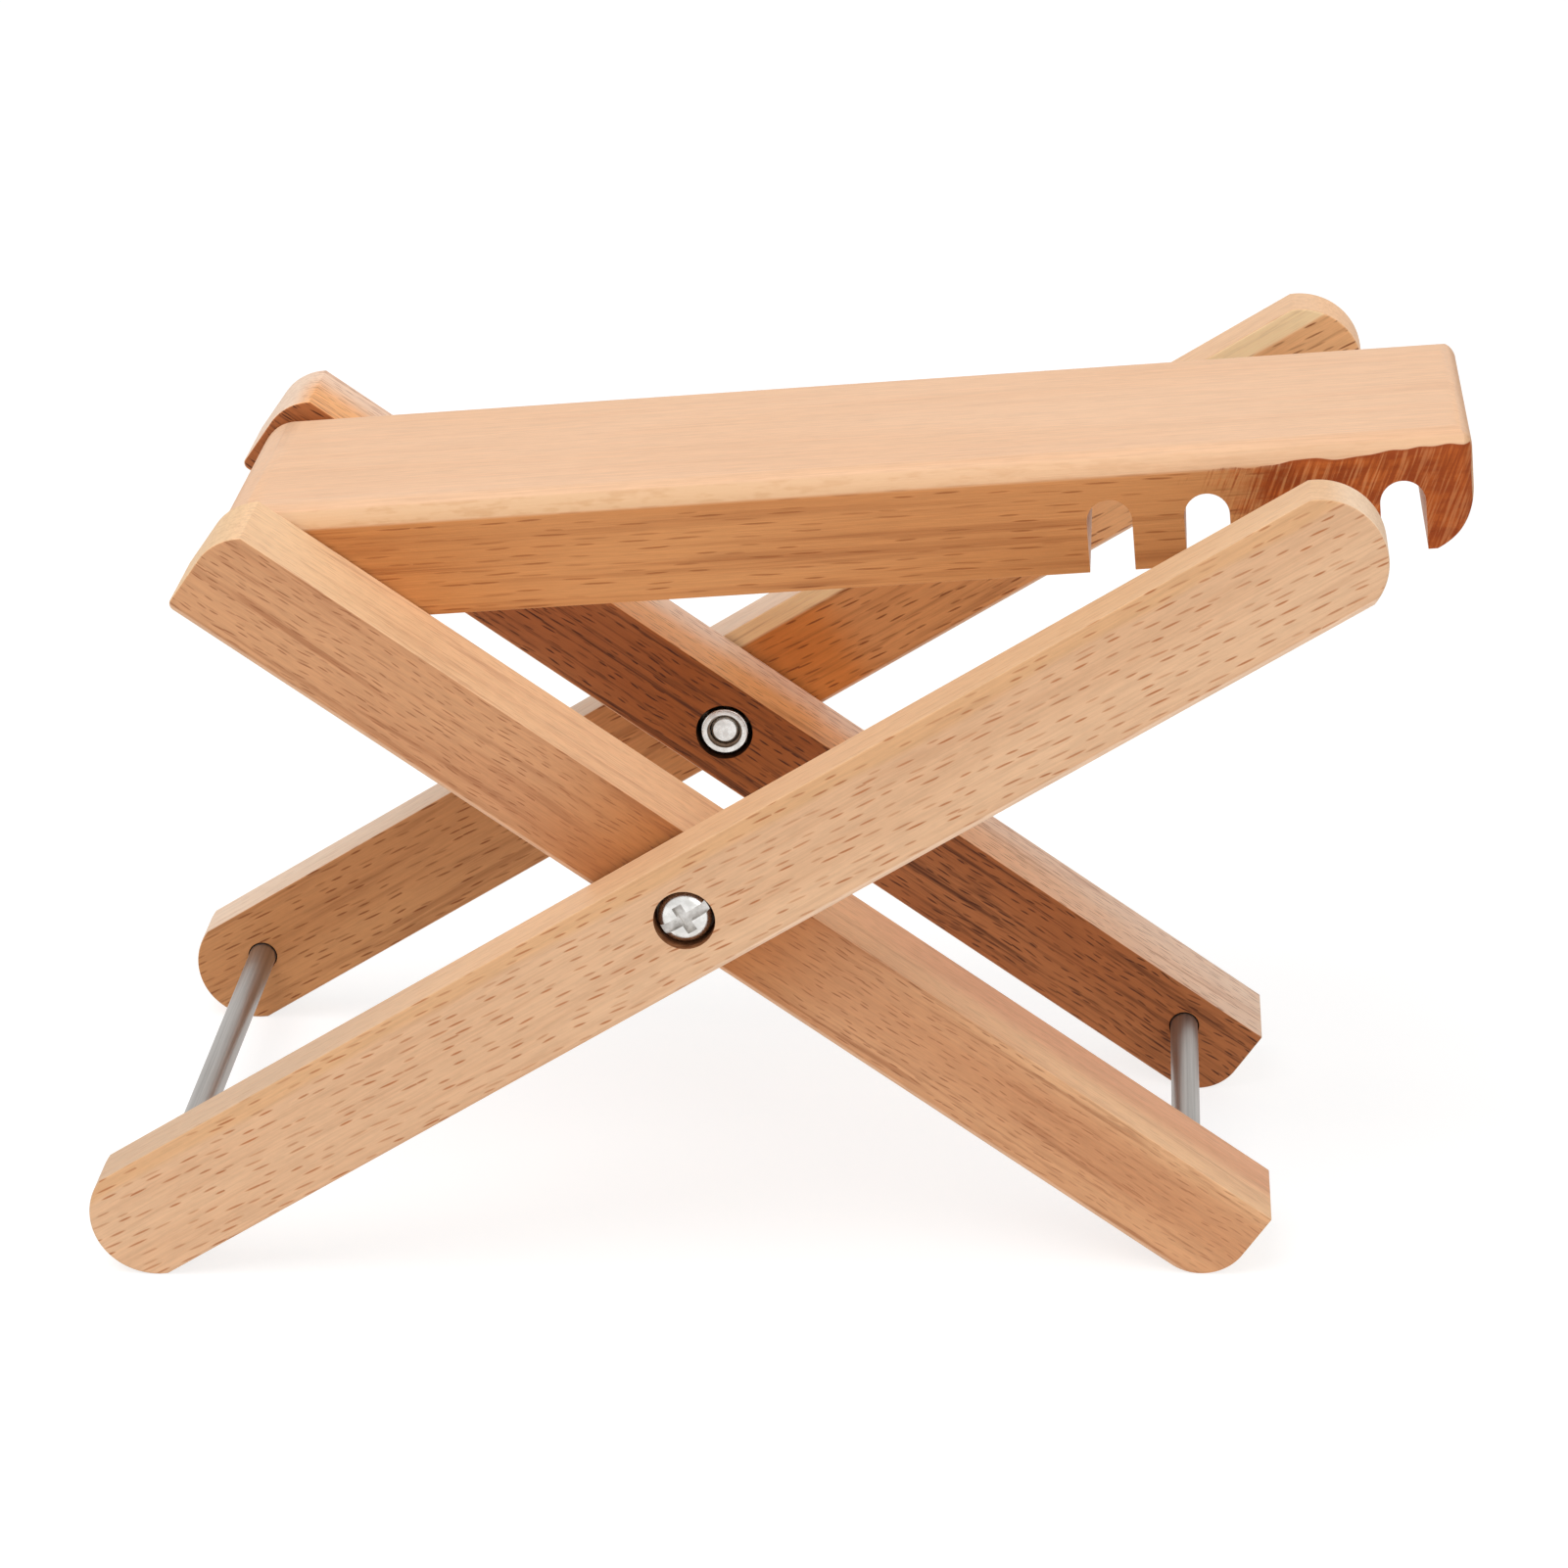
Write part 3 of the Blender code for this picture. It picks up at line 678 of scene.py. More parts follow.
def boreWood(name, dark, lit):
    material, tree, shader = freshMaterial(name)
    rings = objectNoise(tree, boreLook["ringScale"], rough=0.6)
    colour = toneOf(tree, spreadOf(tree, rings, *boreLook["ringSpread"]), boreLook, dark, lit)
    rough = spreadOf(tree, rings, *boreLook["roughSpread"])
    coat(tree, shader, colour, rough, rings, boreLook["rise"], boreLook["shine"])
    return material


headBoreShadedWood = boreWood("headBoreShadedWood", "headDark", "headLit")
nutBoreShadedWood = boreWood("nutBoreShadedWood", "nutDark", "nutLit")

# outer legs, flat slats rounded at both ends; places along a leg are metres from the pivot

wholeLeg = (-0.20, -0.19)  # both lie past the lower end

outerLeg = dict(
    below=0.14239, above=0.15759,  # pivot to the two ends
    width=0.0247, endRadius=0.01335,
    back=0.05695, face=0.06935,  # from the middle plane
    ease=0.0004, lowEase=0.0008, easeSteps=4, arcSteps=36,
    boltHole=0.0033, bore=0.00617, boreFloor=0.06395,
    rodHole=0.0033, rodFloor=0.06495,
    rods=((0.1417, 0.0009), (-0.1265, 0.0009)),
)

outerLook = dict(
    turn=outerLean, at=pivotAt, slide=(0.0, 0.0, 0.0), inward=1.0,
    sideTurn=(0.60, 0.85), sand=0.025, rough=0.50,
    side=(234, 191, 152), sideDeep=(225, 178, 138),
    inside=(228, 182, 138), insideDeep=(212, 162, 116),
    top=(240, 197, 154), topDeep=(232, 188, 145),
    topTint=(0.83, 0.88, 0.98), topTintFrom=(-0.03, -0.09),
    band=(226, 172, 118), bandFrom=(0.0100, 0.0118), bandShare=0.55,
    bandAlong=wholeLeg, bandWander=0.004, bandInside=False,
    end=(251, 219, 186), endDeep=(247, 213, 178),
    lowEdgeLit=(246, 212, 182), lowFrom=-0.0112, lowAlong=(-0.03, 0.02), lowInside=False,
    streak=(190, 134, 96), insideStreak=(170, 116, 74), topStreak=(214, 168, 130),
    streakShare=(0.25, 0.22), streakScale=(22, 330, 520), bend=0.3,
    fleck=(182, 112, 66), insideFleck=(158, 100, 60), fleckShare=0.90, topFlecks=0.25,
    cellLong=0.0066, cellWide=0.0019, fleckHalf=0.0029, fleckThin=0.00026,
    fleckSlant=0.07, fleckDrop=0.06, wave=0.0010,
)

rearOuterLook = dict(
    outerLook, slide=(0.083, 0.021, 0.017), inward=-1.0,
    # the inside face's tones, tint, end colour, streaks and flecks are painted shade under the board,
    # lighter toward the upper end
    inside=(230, 166, 107), insideDeep=(215, 148, 91),
    insideTint=(0.86, 0.89, 0.97), insideTintFrom=(0.0, -0.06),
    crossingShadeTint=(0.98, 0.80, 0.53), crossingShadeAt=0.018, crossingShadeFrom=(0.016, 0.005),
    insideEnd=(243, 188, 134), insideEndFrom=(0.06, 0.10),
    # the pale band high on the inside face is a painted highlight of the rounded top edge
    band=(255, 225, 177), bandFrom=(0.0080, 0.0089), bandShare=1.0,
    bandAlong=(-0.01, 0.01), bandWander=0.001, bandInside=True,
    lowFrom=-0.0115, lowInside=True,
    insideStreak=(150, 92, 50), insideFleck=(140, 80, 40), streakShare=(0.25, 0.50),
    top=(242, 214, 188), topDeep=(235, 204, 176),
    topTint=(1.0, 0.84, 0.67), topTintFrom=(0.03, 0.10),
    end=(251, 201, 155), endDeep=(246, 194, 146),
)


def outerLegBlank(side):
    half = outerLeg["width"] / 2
    radius = outerLeg["endRadius"]
    reach = math.asin(half / radius)
    drop = radius * math.cos(reach)
    upper = outerLeg["above"] - radius
    lower = radius - outerLeg["below"]
    bm = bmesh.new()
    steps = outerLeg["arcSteps"]
    stretches = [
        sweep(bm, (upper + drop, -half), (upper, 0.0), 2 * reach, steps),
        sweep(bm, (lower - drop, half), (lower, 0.0), 2 * reach, steps),
    ]
    face = closeOutline(bm, stretches)
    thicken(bm, face, side * outerLeg["back"], side * outerLeg["face"])
    return easeLeg(bm, outerLeg)


def makeOuterLeg(label, side, wood):
    bm = outerLegBlank(side)
    bm = boreLeg(bm, outerLeg, side, outerLeg["face"] + cutClear, outerLeg["back"] - cutClear)
    name, nodes = "outerLeg" + label.capitalize(), ["outer_leg_" + label]
    finishPiece(bm, name, outerPlace, (wood, headBoreShadedWood), "outer_frame", nodes)


makeOuterLeg("front", -1, beech("outerBeechFront", outerLook))
makeOuterLeg("rear", 1, beech("outerBeechRear", rearOuterLook))
print("outer legs done")

# inner legs, thicker, half rounded at each end

innerLeg = dict(
    below=0.13688, above=0.11819,
    width=0.02068, hingeRadius=0.01134, hingeRise=0.0013,
    cornerRound=0.0016, cornerSteps=8,
    face=0.03275, back=0.05555,
    ease=0.0004, lowEase=0.0008, easeSteps=4, arcSteps=24,
    boltHole=0.0033, bore=0.00617, boreFloor=0.04105,
    rodHole=0.0033, rodFloor=0.04675,
    rods=((-0.1063, -0.0024), (0.1213, 0.0024)),
)

innerLook = dict(
    turn=innerLean, at=pivotAt, slide=(0.031, 0.012, 0.009), inward=1.0,
    sideTurn=(0.60, 0.85), sand=0.03, rough=0.52,
    side=(225, 170, 125), sideDeep=(206, 146, 103),
    sideTint=(0.92, 0.88, 0.85), sideTintFrom=(0.05, -0.03),
    crossingShadeTint=(0.84, 0.69, 0.46), crossingShadeAt=0.0, crossingShadeFrom=(0.045, 0.008),
    inside=(214, 158, 112), insideDeep=(196, 136, 92),
    top=(253, 209, 163), topDeep=(235, 185, 140),
    topTint=(0.93, 0.80, 0.81), topTintFrom=(0.01, 0.07), topTintDeep=(0.0490, 0.0410),
    band=(239, 189, 142), bandFrom=(0.0085, 0.0118), bandShare=0.60,
    bandAlong=(0.03, 0.08), bandWander=0.004, bandInside=False,
    end=(239, 199, 153), endDeep=(234, 191, 144),
    lowEdgeLit=(236, 192, 156), lowFrom=-0.0093, lowAlong=wholeLeg, lowInside=False,
    streak=(160, 98, 60), insideStreak=(160, 102, 62), topStreak=(196, 138, 104),
    streakShare=(0.50, 0.62), streakScale=(16, 240, 420), bend=1.0,
    fleck=(156, 94, 58), insideFleck=(150, 92, 54), fleckShare=0.75, topFlecks=0.35,
    cellLong=0.0047, cellWide=0.0011, fleckHalf=0.0022, fleckThin=0.00018,
    fleckSlant=-0.03, fleckDrop=0.08, fleckFade=(0.12, 0.04, 0.65, 1.0), wave=0.0030,
)

rearInnerLook = dict(
    innerLook, slide=(0.127, 0.034, 0.026), inward=-1.0,
    # the inside face's tones, streaks and flecks are painted shade under the board
    inside=(194, 124, 76), insideDeep=(174, 102, 56),
    insideStreak=(88, 44, 20), streakShare=(0.50, 0.90), streakScale=(22, 330, 640),
    insideFleck=(80, 38, 16), fleckShare=0.95, topFlecks=0.75,
    cellWide=0.0014, fleckHalf=0.0024, fleckThin=0.00022, fleckFade=(0.30, 0.20, 0.65, 1.0),
    # the very pale top is partly painted light, lifting it against the board's shadow; the tint takes
    # its front part darker and warmer toward the pivot
    top=(255, 224, 198), topDeep=(250, 211, 182), topStreak=(186, 120, 76),
    topTint=(1.0, 0.69, 0.38), topTintFrom=(0.15, 0.0), topTintDeep=(0.0530, 0.0400),
    end=(242, 212, 186), endDeep=(237, 204, 177),
)


def innerLegBlank(side):
    half = innerLeg["width"] / 2
    radius, rise = innerLeg["hingeRadius"], innerLeg["hingeRise"]
    reach = math.asin((half - rise) / radius)
    hinge = radius - innerLeg["above"]
    foot = innerLeg["below"] - half
    bm = bmesh.new()
    steps = innerLeg["arcSteps"]
    corner = innerLeg["cornerRound"]
    low, left = corner - half, -innerLeg["above"]
    footCorner = bm.verts.new((innerLeg["below"], 0.0, half))
    stretches = [
        sweep(bm, (hinge - radius * math.cos(reach), half), (hinge, rise), reach, steps),
        sweep(bm, (left, low), (left + corner, low), math.pi / 2, innerLeg["cornerSteps"]),
        sweep(bm, (foot, -half), (foot, 0.0), math.pi / 2, steps),
        (footCorner, footCorner),
    ]
    face = closeOutline(bm, stretches)
    thicken(bm, face, side * innerLeg["face"], side * innerLeg["back"])
    return easeLeg(bm, innerLeg)


def makeInnerLeg(label, side, wood):
    bm = innerLegBlank(side)
    bm = boreLeg(bm, innerLeg, side, innerLeg["face"] - cutClear, innerLeg["back"] + cutClear)
    name, nodes = "innerLeg" + label.capitalize(), ["inner_leg_" + label]
    finishPiece(bm, name, innerPlace, (wood, nutBoreShadedWood), "inner_frame", nodes)


makeInnerLeg("front", -1, beech("innerBeechFront", innerLook))
makeInnerLeg("rear", 1, beech("innerBeechRear", rearInnerLook))
print("inner legs done")

# foot board with its round hinge end, four notches and hook

footBoard = dict(
    width=0.0645, thick=0.0240, end=0.2434,
    edgeRound=0.0055, edgeSteps=10, noseShift=0.0020, noseSteps=40,
    notchFirst=0.17139, notchPitch=0.0193, notches=4,
    notchRadius=0.0045, notchCentre=-0.0016, notchSteps=20,
    hookLength=0.01419, hookTip=0.0019, hookShort=0.0004, hookRise=0.0005, hookSteps=24,
    topRadius=0.0030, topSteps=8, cornerRound=0.0038,
    rodBore=0.0033, ease=0.00025, easeSteps=2, easeTurn=65,
    merge=0.00004, sharp=30,
    spare=0.03, margin=0.001, room=0.00002,  # how far blanks and outlines reach past the board
)

boardLook = dict(
    turn=boardTilt, at=hingeAt, slide=(0.011, 0.043, 0.005), inward=1.0,
    sideTurn=(0.955, 0.992), sand=0.015, rough=0.46,
    side=(216, 151, 94), sideDeep=(202, 134, 78),
    sideTint=(0.92, 0.87, 0.77), sideTintFrom=(0.070, 0.025),
    inside=(216, 151, 94), insideDeep=(202, 134, 78),
    top=(241, 196, 158), topDeep=(238, 190, 150),
    strip=(229, 185, 142), stripDeep=(214, 164, 118), stripFade=(0.06, 0.20, 1.0, 0.45),
    stripTop=(0.86, 0.74), stripTurn=(0.20, 0.45),
    mottleScale=(160, 600, 600), mottleSpread=(0.46, 0.66, 0.0, 0.6),
    end=(221, 169, 121), endDeep=(213, 158, 111),
    streak=(158, 92, 46), insideStreak=(158, 92, 46), topStreak=(230, 178, 138),
    streakShare=(0.35, 0.55), streakScale=(10, 300, 520), bend=0.3,
    fleck=(156, 90, 44), insideFleck=(156, 90, 44), fleckShare=0.75, topFlecks=0.10,
    cellLong=0.0105, cellWide=0.0018, fleckHalf=0.0046, fleckThin=0.00024,
    fleckSlant=0.0, fleckDrop=0.15, wave=0.0010,
)

# rough sawn side of the hook; places are metres from the hinge, along the board and up

sawnLook = dict(
    begin=(0.191, 0.207), kerfShift=-0.035, blotchShift=0.034,
    rise=(0.196, 0.246, 0.0079, 0.0098), edge=(0.0, 0.00025),
    waveScale=90.0, waveSwing=(0.30, 0.70, -0.0005, 0.0005),
    rimWide=(0.0009, 0.0003), rimShare=0.6, turn=(0.25, 0.45),
    dark=(150, 64, 18), mid=(192, 98, 38), pale=(220, 146, 92),
    slant=-0.42, blotchScale=(110, 30, 300), blotchSpread=(0.35, 0.65),
    # marks to a metre across and along them, and roughness
    coarse=(800.0, 60.0, 0.55), fine=(2100.0, 130.0, 0.6),
    kerfPale=(0.50, 0.60, 0.0, 0.50), kerfDark=(0.49, 0.40, 0.0, 0.75),
    tipDark=(0.226, 0.236, 0.0, 0.28),
    addRough=0.28, addLift=4.0,
)


def sawMarks(tree, marks, up, scaleAcross, scaleAlong, rough):
    place = joined(tree, times(tree, marks, scaleAcross), times(tree, up, scaleAlong))
    return noiseOf(tree, place, detail=1.0, rough=rough)


def sawnWood(tree, made):
    # slanting saw marks, coarse and fine, from dark to pale, and where they show
    look, along, up = sawnLook, made["length"], made["up"]
    dark, mid, pale = paint(*look["dark"]), paint(*look["mid"]), paint(*look["pale"])
    marks = mathOf(tree, "MULTIPLY_ADD", up, look["slant"], along)
    coarse = sawMarks(tree, marks, up, *look["coarse"])
    fine = sawMarks(tree, marks, up, *look["fine"])
    kerf = mathOf(tree, "MULTIPLY_ADD", fine, 0.5, times(tree, coarse, 0.5))
    blotch = noiseOf(tree, made["spot"], look["blotchScale"], detail=3.0, rough=0.6)
    colour = mixOf(tree, spreadOf(tree, blotch, *look["blotchSpread"]), dark, mid)
    colour = mixOf(tree, spreadOf(tree, kerf, *look["kerfPale"]), colour, pale)
    colour = mixOf(tree, spreadOf(tree, kerf, *look["kerfDark"]), colour, dark)
    colour = mixOf(tree, spreadOf(tree, along, *look["tipDark"]), colour, dark)

    # the sawn part ends above in a wavy line and starts in blotches
    wave = joined(tree, times(tree, marks, look["waveScale"]), 0.0)
    wave = noiseOf(tree, wave, detail=1.0, rough=0.6)
    line = spreadOf(tree, along, *look["rise"])
    line = mathOf(tree, "ADD", line, spreadOf(tree, wave, *look["waveSwing"]))
    gap = mathOf(tree, "SUBTRACT", line, up)
    rim = times(tree, spreadOf(tree, gap, *look["rimWide"]), look["rimShare"])
    colour = mixOf(tree, rim, colour, dark)
    start = along
    for field, shift in ((kerf, look["kerfShift"]), (blotch, look["blotchShift"])):
        start = mathOf(tree, "MULTIPLY_ADD", mathOf(tree, "SUBTRACT", field, 0.5), shift, start)
    shown = faded(tree, spreadOf(tree, gap, *look["edge"]), start, look["begin"])
    shown = faded(tree, shown, made["sideways"], look["turn"])
    return colour, kerf, shown


def boardBeech():
    look = boardLook
    material, tree, shader = freshMaterial("boardBeech")
    made = grain(tree, look)
    sideways = made["sideways"]
    # the rounded long edge of the top is painted a little darker and warmer: painted shade against the
    # light the rounding catches
    strip = spreadOf(tree, made["toward"][2], *look["stripTop"])
    strip = faded(tree, strip, sideways, look["stripTurn"])
    strip = faded(tree, strip, sideways, reversed(look["sideTurn"]))
    strip = faded(tree, strip, made["length"], look["stripFade"])
    mottle = noiseOf(tree, made["spot"], look["mottleScale"], rough=0.6)
    mottle = spreadOf(tree, mottle, *look["mottleSpread"])
    edgeShadeTone = toneOf(tree, mottle, look, "strip", "stripDeep")
    colour = mixOf(tree, strip, made["colour"], edgeShadeTone)
    raw, kerf, sawn = sawnWood(tree, made)
    colour = mixOf(tree, sawn, colour, raw)
    rough = mathOf(tree, "MULTIPLY_ADD", sawn, sawnLook["addRough"], made["rough"])
    lift = mathOf(tree, "MULTIPLY_ADD", times(tree, kerf, sawn), sawnLook["addLift"], made["lift"])
    coat(tree, shader, colour, rough, lift, timber["rise"], timber["shine"])
    return material


def boardOutline(bm):
    half = footBoard["thick"] / 2
    radius, centre = footBoard["notchRadius"], footBoard["notchCentre"]
    end, corner, nose = footBoard["end"], footBoard["topRadius"], footBoard["noseShift"]
    short, rise = footBoard["hookShort"], footBoard["hookRise"]
    margin = footBoard["margin"]
    stretches = [sweep(bm, (nose, half), (nose, 0.0), math.pi, footBoard["noseSteps"])]
    for i in range(footBoard["notches"]):
        middle = footBoard["notchFirst"] + i * footBoard["notchPitch"]
        last = i == footBoard["notches"] - 1
        left = bm.verts.new((middle - radius, 0.0, -half))
        arch = sweep(bm, (middle - radius, centre), (middle, centre), -math.pi, footBoard["notchSteps"])
        right = bm.verts.new((middle + radius, 0.0, short - half if last else -half))
        stretches += [(left, left), arch, (right, right)]
    # the hook's outer side is one long arc, from the tip's flat up to the end face
    run = footBoard["hookLength"] - radius - footBoard["hookTip"]
    drop = rise + half - short
    hook = (run**2 + drop**2) / (2 * run)
    reach = math.atan2(drop, hook - run)
    tip = (end - run, short - half)
    stretches.append(sweep(bm, tip, (end - hook, rise), reach, footBoard["hookSteps"]))
    edge = half - corner
    stretches.append(sweep(bm, (end, edge), (end - corner, edge), math.pi / 2, footBoard["topSteps"]))
    # the outline's top stands clear of the blank's
    for x in (end - corner - margin, nose + margin):
        over = bm.verts.new((x, 0.0, half + margin))
        stretches.append((over, over))
    return closeOutline(bm, stretches)


def roundedEnd():
    # a block a hair larger than the board, with ball corners at the hook end
    room, spare = footBoard["room"], footBoard["spare"]
    top = footBoard["thick"] / 2 + room
    wide = footBoard["width"] + 2 * room
    run = footBoard["end"] + room + spare
    bm = bar((run, wide, 2 * spare), (run / 2 - spare, 0.0, top - spare))
    edges = [e for e in bm.edges if any(v.co.x > 0 and v.co.z > 0 for v in e.verts)]
    easeEdges(bm, edges, footBoard["cornerRound"], footBoard["topSteps"])
    return bm


def makeBoard():
    half = footBoard["thick"] / 2
    width, spare, margin = footBoard["width"], footBoard["spare"], footBoard["margin"]
    length = footBoard["end"] + spare
    blank = bar((length, width, 2 * half + margin), (length / 2 - spare / 2, 0.0, -margin / 2))
    top = [e for e in blank.edges if all(v.co.z > 0 for v in e.verts) and e.calc_length() > length / 2]
    easeEdges(blank, top, footBoard["edgeRound"], footBoard["edgeSteps"])
    outline = bmesh.new()
    thicken(outline, boardOutline(outline), -width, width)
    bm = carve(blank, outline, "INTERSECT")
    bm = carve(bm, roundedEnd(), "INTERSECT")
    bore = footBoard["rodBore"]
    bm = carve(bm, lathe([(0.0, -width), (bore, -width), (bore, width), (0.0, width)], 1))
    boreFaces(bm, bore)
    # tiny edges left by the cuts would hold the easing back
    mend(bm, footBoard["merge"])
    reach = footBoard["end"] - footBoard["cornerRound"] - margin
    low = half - footBoard["edgeRound"] - margin
    sharp = sharpEdges(bm, footBoard["easeTurn"])
    plain = [e for e in sharp if all(v.co.z < low and v.co.x < reach for v in e.verts)]
    easeEdges(bm, plain, footBoard["ease"], footBoard["easeSteps"])
    mend(bm, footBoard["merge"])
    woods = (boardBeech(), nutBoreShadedWood)
    finishPiece(
        bm, "footBoard", boardPlace, woods, "board", ["foot_board"], footBoard["sharp"]
    )


makeBoard()
print("foot board done")

# drawn steel rods

rods = dict(
    radius=0.0030, chamfer=0.0005, steps=48,
    base=(162, 158, 154), pale=(180, 176, 172), rough=0.44, roughSwing=0.16,
    lineScale=(1900, 18, 1900), lineSpread=(0.3, 0.7), hazeScale=(120, 60, 120), rise=0.000005,
    list=(
        # name, body, node, axis, half length
        ("catchRod", "outer_frame", "catch_rod", catchAt, 0.06465),
        ("outerFootRod", "outer_frame", "outer_foot_rod", outerFootAt, 0.06465),
        ("innerFootRod", "inner_frame", "inner_foot_rod", innerFootAt, 0.04645),
        ("hingeRod", "inner_frame", "hinge_rod", hingeAt, 0.04645),
    ),
)


def drawnSteel():
    material, tree, shader = freshMaterial("drawnSteel")
    lines = objectNoise(tree, rods["lineScale"], detail=3.0, rough=0.6)
    haze = objectNoise(tree, rods["hazeScale"])
    share = spreadOf(tree, lines, *rods["lineSpread"])
    colour = toneOf(tree, share, rods, "base", "pale")
    swing = rods["roughSwing"]
    rough = mathOf(tree, "MULTIPLY_ADD", haze, swing, rods["rough"] - swing / 2)
    coat(tree, shader, colour, rough, lines, rods["rise"], metal=1.0)
    return material


def makeRods():
    steel = drawnSteel()
    radius, chamfer = rods["radius"], rods["chamfer"]
    for name, body, node, axis, half in rods["list"]:
        profile = [(0.0, -half), (radius - chamfer, -half), (radius, chamfer - half)]
        profile += [(radius, half - chamfer), (radius - chamfer, half), (0.0, half)]
        bm = lathe(profile, 1, steps=rods["steps"])
        finishPiece(bm, name, Matrix.Translation(axis), (steel,), body, [node])


makeRods()
print("rods done")

# pivot hardware: pan-head bolts, lock nuts with nylon rings, washers

hardware = dict(
    shank=0.0030, tip=0.03395, tipChamfer=0.0005,
    headSeat=0.06535, headTop=0.06875, headRadius=0.0054, headEdge=0.0014,
    domeSteps=14, boltSteps=64, sharp=38,
    slotLong=0.02, slotWide=0.0021, slotDeep=0.0014, crossLong=0.0062, crossDeep=0.0019,
    slotOver=0.0005, slotSlack=0.00001,  # tell the slots' faces from the rest
    nutEnd=0.03325, nutBack=0.03965, hexHeight=0.0042, hexRadius=0.00577,
    collar=0.0052, collarRound=0.0005, collarSteps=6, nutSteps=56,
    lip=0.0004, mouth=0.0038, pocket=0.0043, pocketSpare=0.0006, threadBore=0.0033,
    sunkFrom=0.0015,  # below the collar's end
    ringIn=0.0033, ringOut=0.0040, ringStart=0.03395, ringHigh=0.0010,
    ringEase=0.0001, ringEaseSteps=2,
    base=(236, 235, 232), dull=(214, 212, 208), rough=0.26, recessRough=0.46,
    recess=(222, 219, 215), recessDull=(188, 184, 179),
    sunk=(92, 84, 76), sunkDull=(70, 62, 54),  # deep in the bores, painted dark: painted shade
    zincCloud=(420,) * 3, zincSpread=(0.35, 0.68), zincSpeck=(3200,) * 3,
    zincSwing=0.22, zincSmooth=0.10, zincRise=0.000008,
    nylon=(156, 140, 122), nylonDeep=(132, 116, 98), nylonRough=0.48,
    spacer=(190, 184, 172), spacerDeep=(170, 162, 148), spacerRough=0.55,
    plasticCloud=(350,) * 3, plasticSpread=(0.3, 0.7), plasticSpeck=(2600,) * 3,
    plasticSwing=0.08, plasticRise=0.00001,
)


def zincPlate(name, bright, dull, rough):
    material, tree, shader = freshMaterial(name)
    cloud = objectNoise(tree, hardware["zincCloud"], detail=3.0, rough=0.6)
    speck = objectNoise(tree, hardware["zincSpeck"], rough=0.6)
    colour = toneOf(tree, spreadOf(tree, cloud, *hardware["zincSpread"]), hardware, bright, dull)
    least = hardware[rough] - hardware["zincSmooth"]
    uneven = mathOf(tree, "MULTIPLY_ADD", cloud, hardware["zincSwing"], least)
    coat(tree, shader, colour, uneven, speck, hardware["zincRise"], metal=1.0)
    return material


def mouldedPlastic(name, pale, deep, rough):
    material, tree, shader = freshMaterial(name)
    cloud = objectNoise(tree, hardware["plasticCloud"])
    speck = objectNoise(tree, hardware["plasticSpeck"], rough=0.6)
    colour = toneOf(tree, spreadOf(tree, cloud, *hardware["plasticSpread"]), hardware, pale, deep)
    usual, swing = hardware[rough], hardware["plasticSwing"]
    uneven = spreadOf(tree, speck, 0.2, 0.8, usual - swing, usual + swing)
    coat(tree, shader, colour, uneven, speck, hardware["plasticRise"])
    return material


def makeBolt(label, side, zinc, recessZinc):
    shank, head = hardware["shank"], hardware["headRadius"]
    tip, seat, top = hardware["tip"], hardware["headSeat"], hardware["headTop"]
    chamfer, edge, steps = hardware["tipChamfer"], hardware["headEdge"], hardware["domeSteps"]
    dome = top - seat - edge
    profile = [(0.0, tip), (shank - chamfer, tip), (shank, tip + chamfer), (shank, seat), (head, seat)]
    for step in range(steps):
        angle = math.pi / 2 * step / steps
        profile.append((head * math.sqrt(math.cos(angle)), seat + edge + dome * math.sin(angle)))
    profile.append((0.0, top))
    bm = lathe(profile, side, steps=hardware["boltSteps"])
    wide, span = hardware["slotWide"], hardware["crossLong"]
    middle = (0.0, side * top, 0.0)
    bm = carve(bm, bar((hardware["slotLong"], 2 * hardware["slotDeep"], wide), middle))
    bm = carve(bm, bar((wide, 2 * hardware["crossDeep"], span), middle))
    slack = hardware["slotSlack"]
    for face in bm.faces:
        spot = face.calc_center_median()
        inSlot = abs(spot.z) < wide / 2 + slack
        inCross = abs(spot.x) < wide / 2 + slack and abs(spot.z) < span / 2 + slack
        if abs(spot.y) > seat + hardware["slotOver"] and (inSlot or inCross):
            face.material_index = 1
    name, nodes = "pivotBolt" + label.capitalize(), ["pivot_bolt_" + label]
    metals = (zinc, recessZinc)
    finishPiece(bm, name, outerPlace, metals, "outer_frame", nodes, hardware["sharp"])


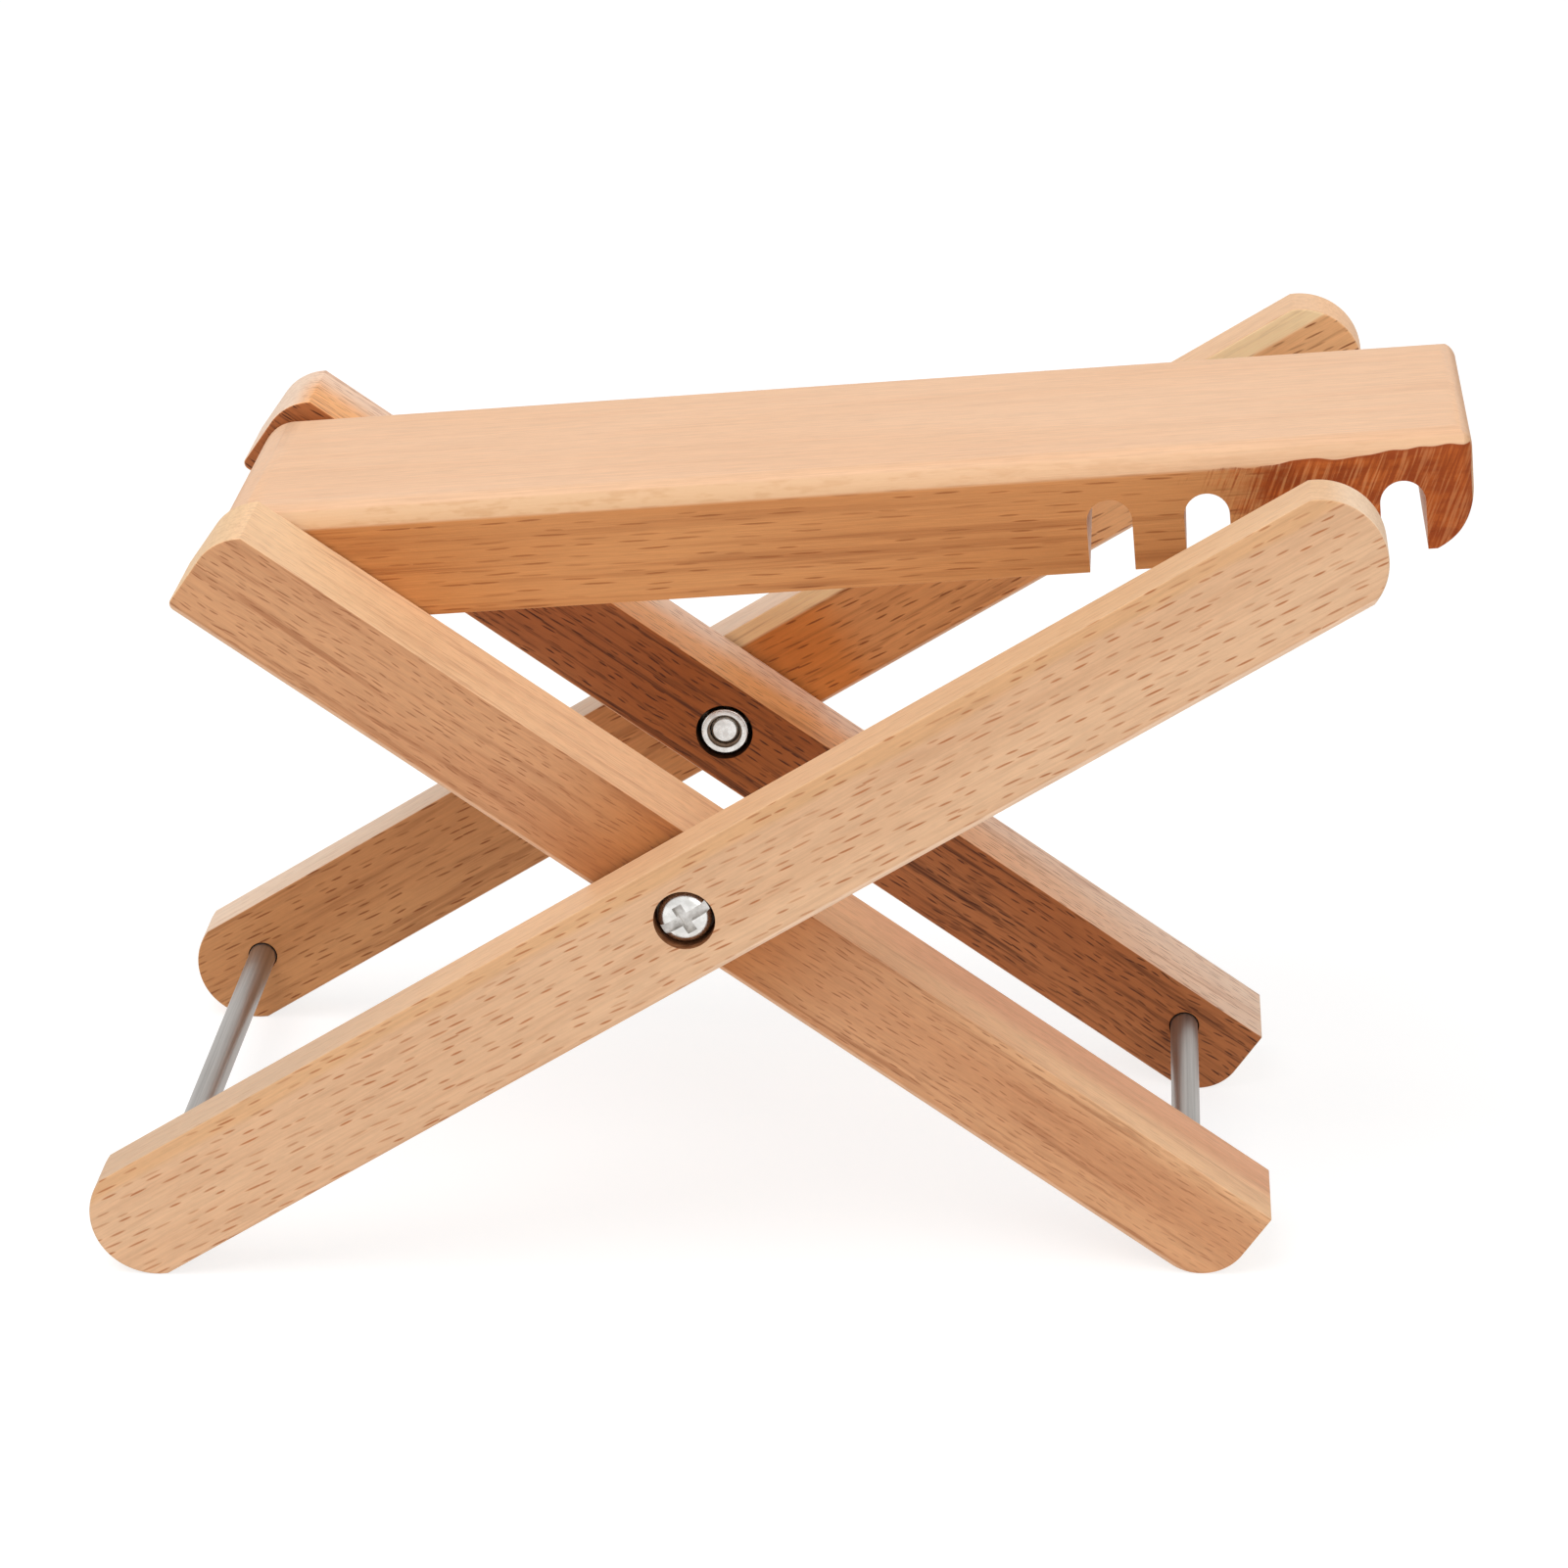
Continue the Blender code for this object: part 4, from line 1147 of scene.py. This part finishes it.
def makeNut(label, side, zinc, shadedZinc):
    end, back, high = hardware["nutEnd"], hardware["nutBack"], hardware["hexHeight"]
    collar, turn = hardware["collar"], hardware["collarRound"]
    hexagon = bmesh.new()
    bmesh.ops.create_circle(hexagon, cap_ends=True, segments=6, radius=hardware["hexRadius"])
    for angle, axis in ((math.pi / 2, "X"), (math.pi / 6, "Y")):
        turned = Matrix.Rotation(angle, 3, axis)
        bmesh.ops.rotate(hexagon, verts=hexagon.verts, cent=(0, 0, 0), matrix=turned)
    hexagon.faces.ensure_lookup_table()
    thicken(hexagon, hexagon.faces[0], side * back, side * (back - high))
    profile = [(0.0, back - high / 2), (collar, back - high / 2)]
    for step in range(hardware["collarSteps"] + 1):
        angle = math.pi / 2 * step / hardware["collarSteps"]
        profile.append((collar - turn + turn * math.cos(angle), end + turn - turn * math.sin(angle)))
    profile.append((0.0, end))
    steps = hardware["nutSteps"]
    bm = carve(hexagon, lathe(profile, side, steps=steps), "UNION")
    mouth, pocket, bore = hardware["mouth"], hardware["pocket"], hardware["threadBore"]
    lip = end + hardware["lip"]
    floor = lip + hardware["ringHigh"] + hardware["pocketSpare"]
    near, far = end - cutClear, back + cutClear
    inside = [(0.0, near), (mouth, near), (mouth, lip), (pocket, lip), (pocket, floor)]
    inside += [(bore, floor), (bore, far), (0.0, far)]
    bm = carve(bm, lathe(inside, side, steps=steps))
    # faces deep in the nut, past the collar, take the shaded zinc: painted shade
    for face in bm.faces:
        spot = face.calc_center_median()
        if abs(spot.y) > end + hardware["sunkFrom"] and math.hypot(spot.x, spot.z) > pocket:
            face.material_index = 1
    name, nodes = "pivotNut" + label.capitalize(), ["pivot_nut_" + label]
    metals = (zinc, shadedZinc)
    finishPiece(bm, name, innerPlace, metals, "inner_frame", nodes, hardware["sharp"])


def makeNylonRing(label, side, nylon):
    start, high = hardware["ringStart"], hardware["ringHigh"]
    inner, outer = hardware["ringIn"], hardware["ringOut"]
    ring = [(inner, start), (outer, start), (outer, start + high), (inner, start + high), (inner, start)]
    bm = lathe(ring, side, steps=hardware["nutSteps"])
    easeEdges(bm, sharpEdges(bm, squareTurn), hardware["ringEase"], hardware["ringEaseSteps"])
    name, nodes = "nylonRing" + label.capitalize(), ["nut_insert_" + label]
    finishPiece(bm, name, innerPlace, (nylon,), "inner_frame", nodes)


zinc = zincPlate("zincPlate", "base", "dull", "rough")
recessZinc = zincPlate("recessZinc", "recess", "recessDull", "recessRough")
shadedZinc = zincPlate("shadedZinc", "sunk", "sunkDull", "recessRough")
nylon = mouldedPlastic("nutNylon", "nylon", "nylonDeep", "nylonRough")
spacer = mouldedPlastic("spacerPlastic", "spacer", "spacerDeep", "spacerRough")
# the washers under the heads and nuts take the shaded zinc too: painted shade in the bores
washerFinishes = (("bolt_washer_", shadedZinc), ("nut_washer_", shadedZinc), ("spacer_washer_", spacer))
for label, side in sides:
    makeBolt(label, side, zinc, recessZinc)
    makeNut(label, side, zinc, shadedZinc)
    makeNylonRing(label, side, nylon)
    for node, finish in washerFinishes:
        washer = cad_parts[node + label]
        washer.data.materials.clear()
        washer.data.materials.append(finish)
print("pivot hardware done")
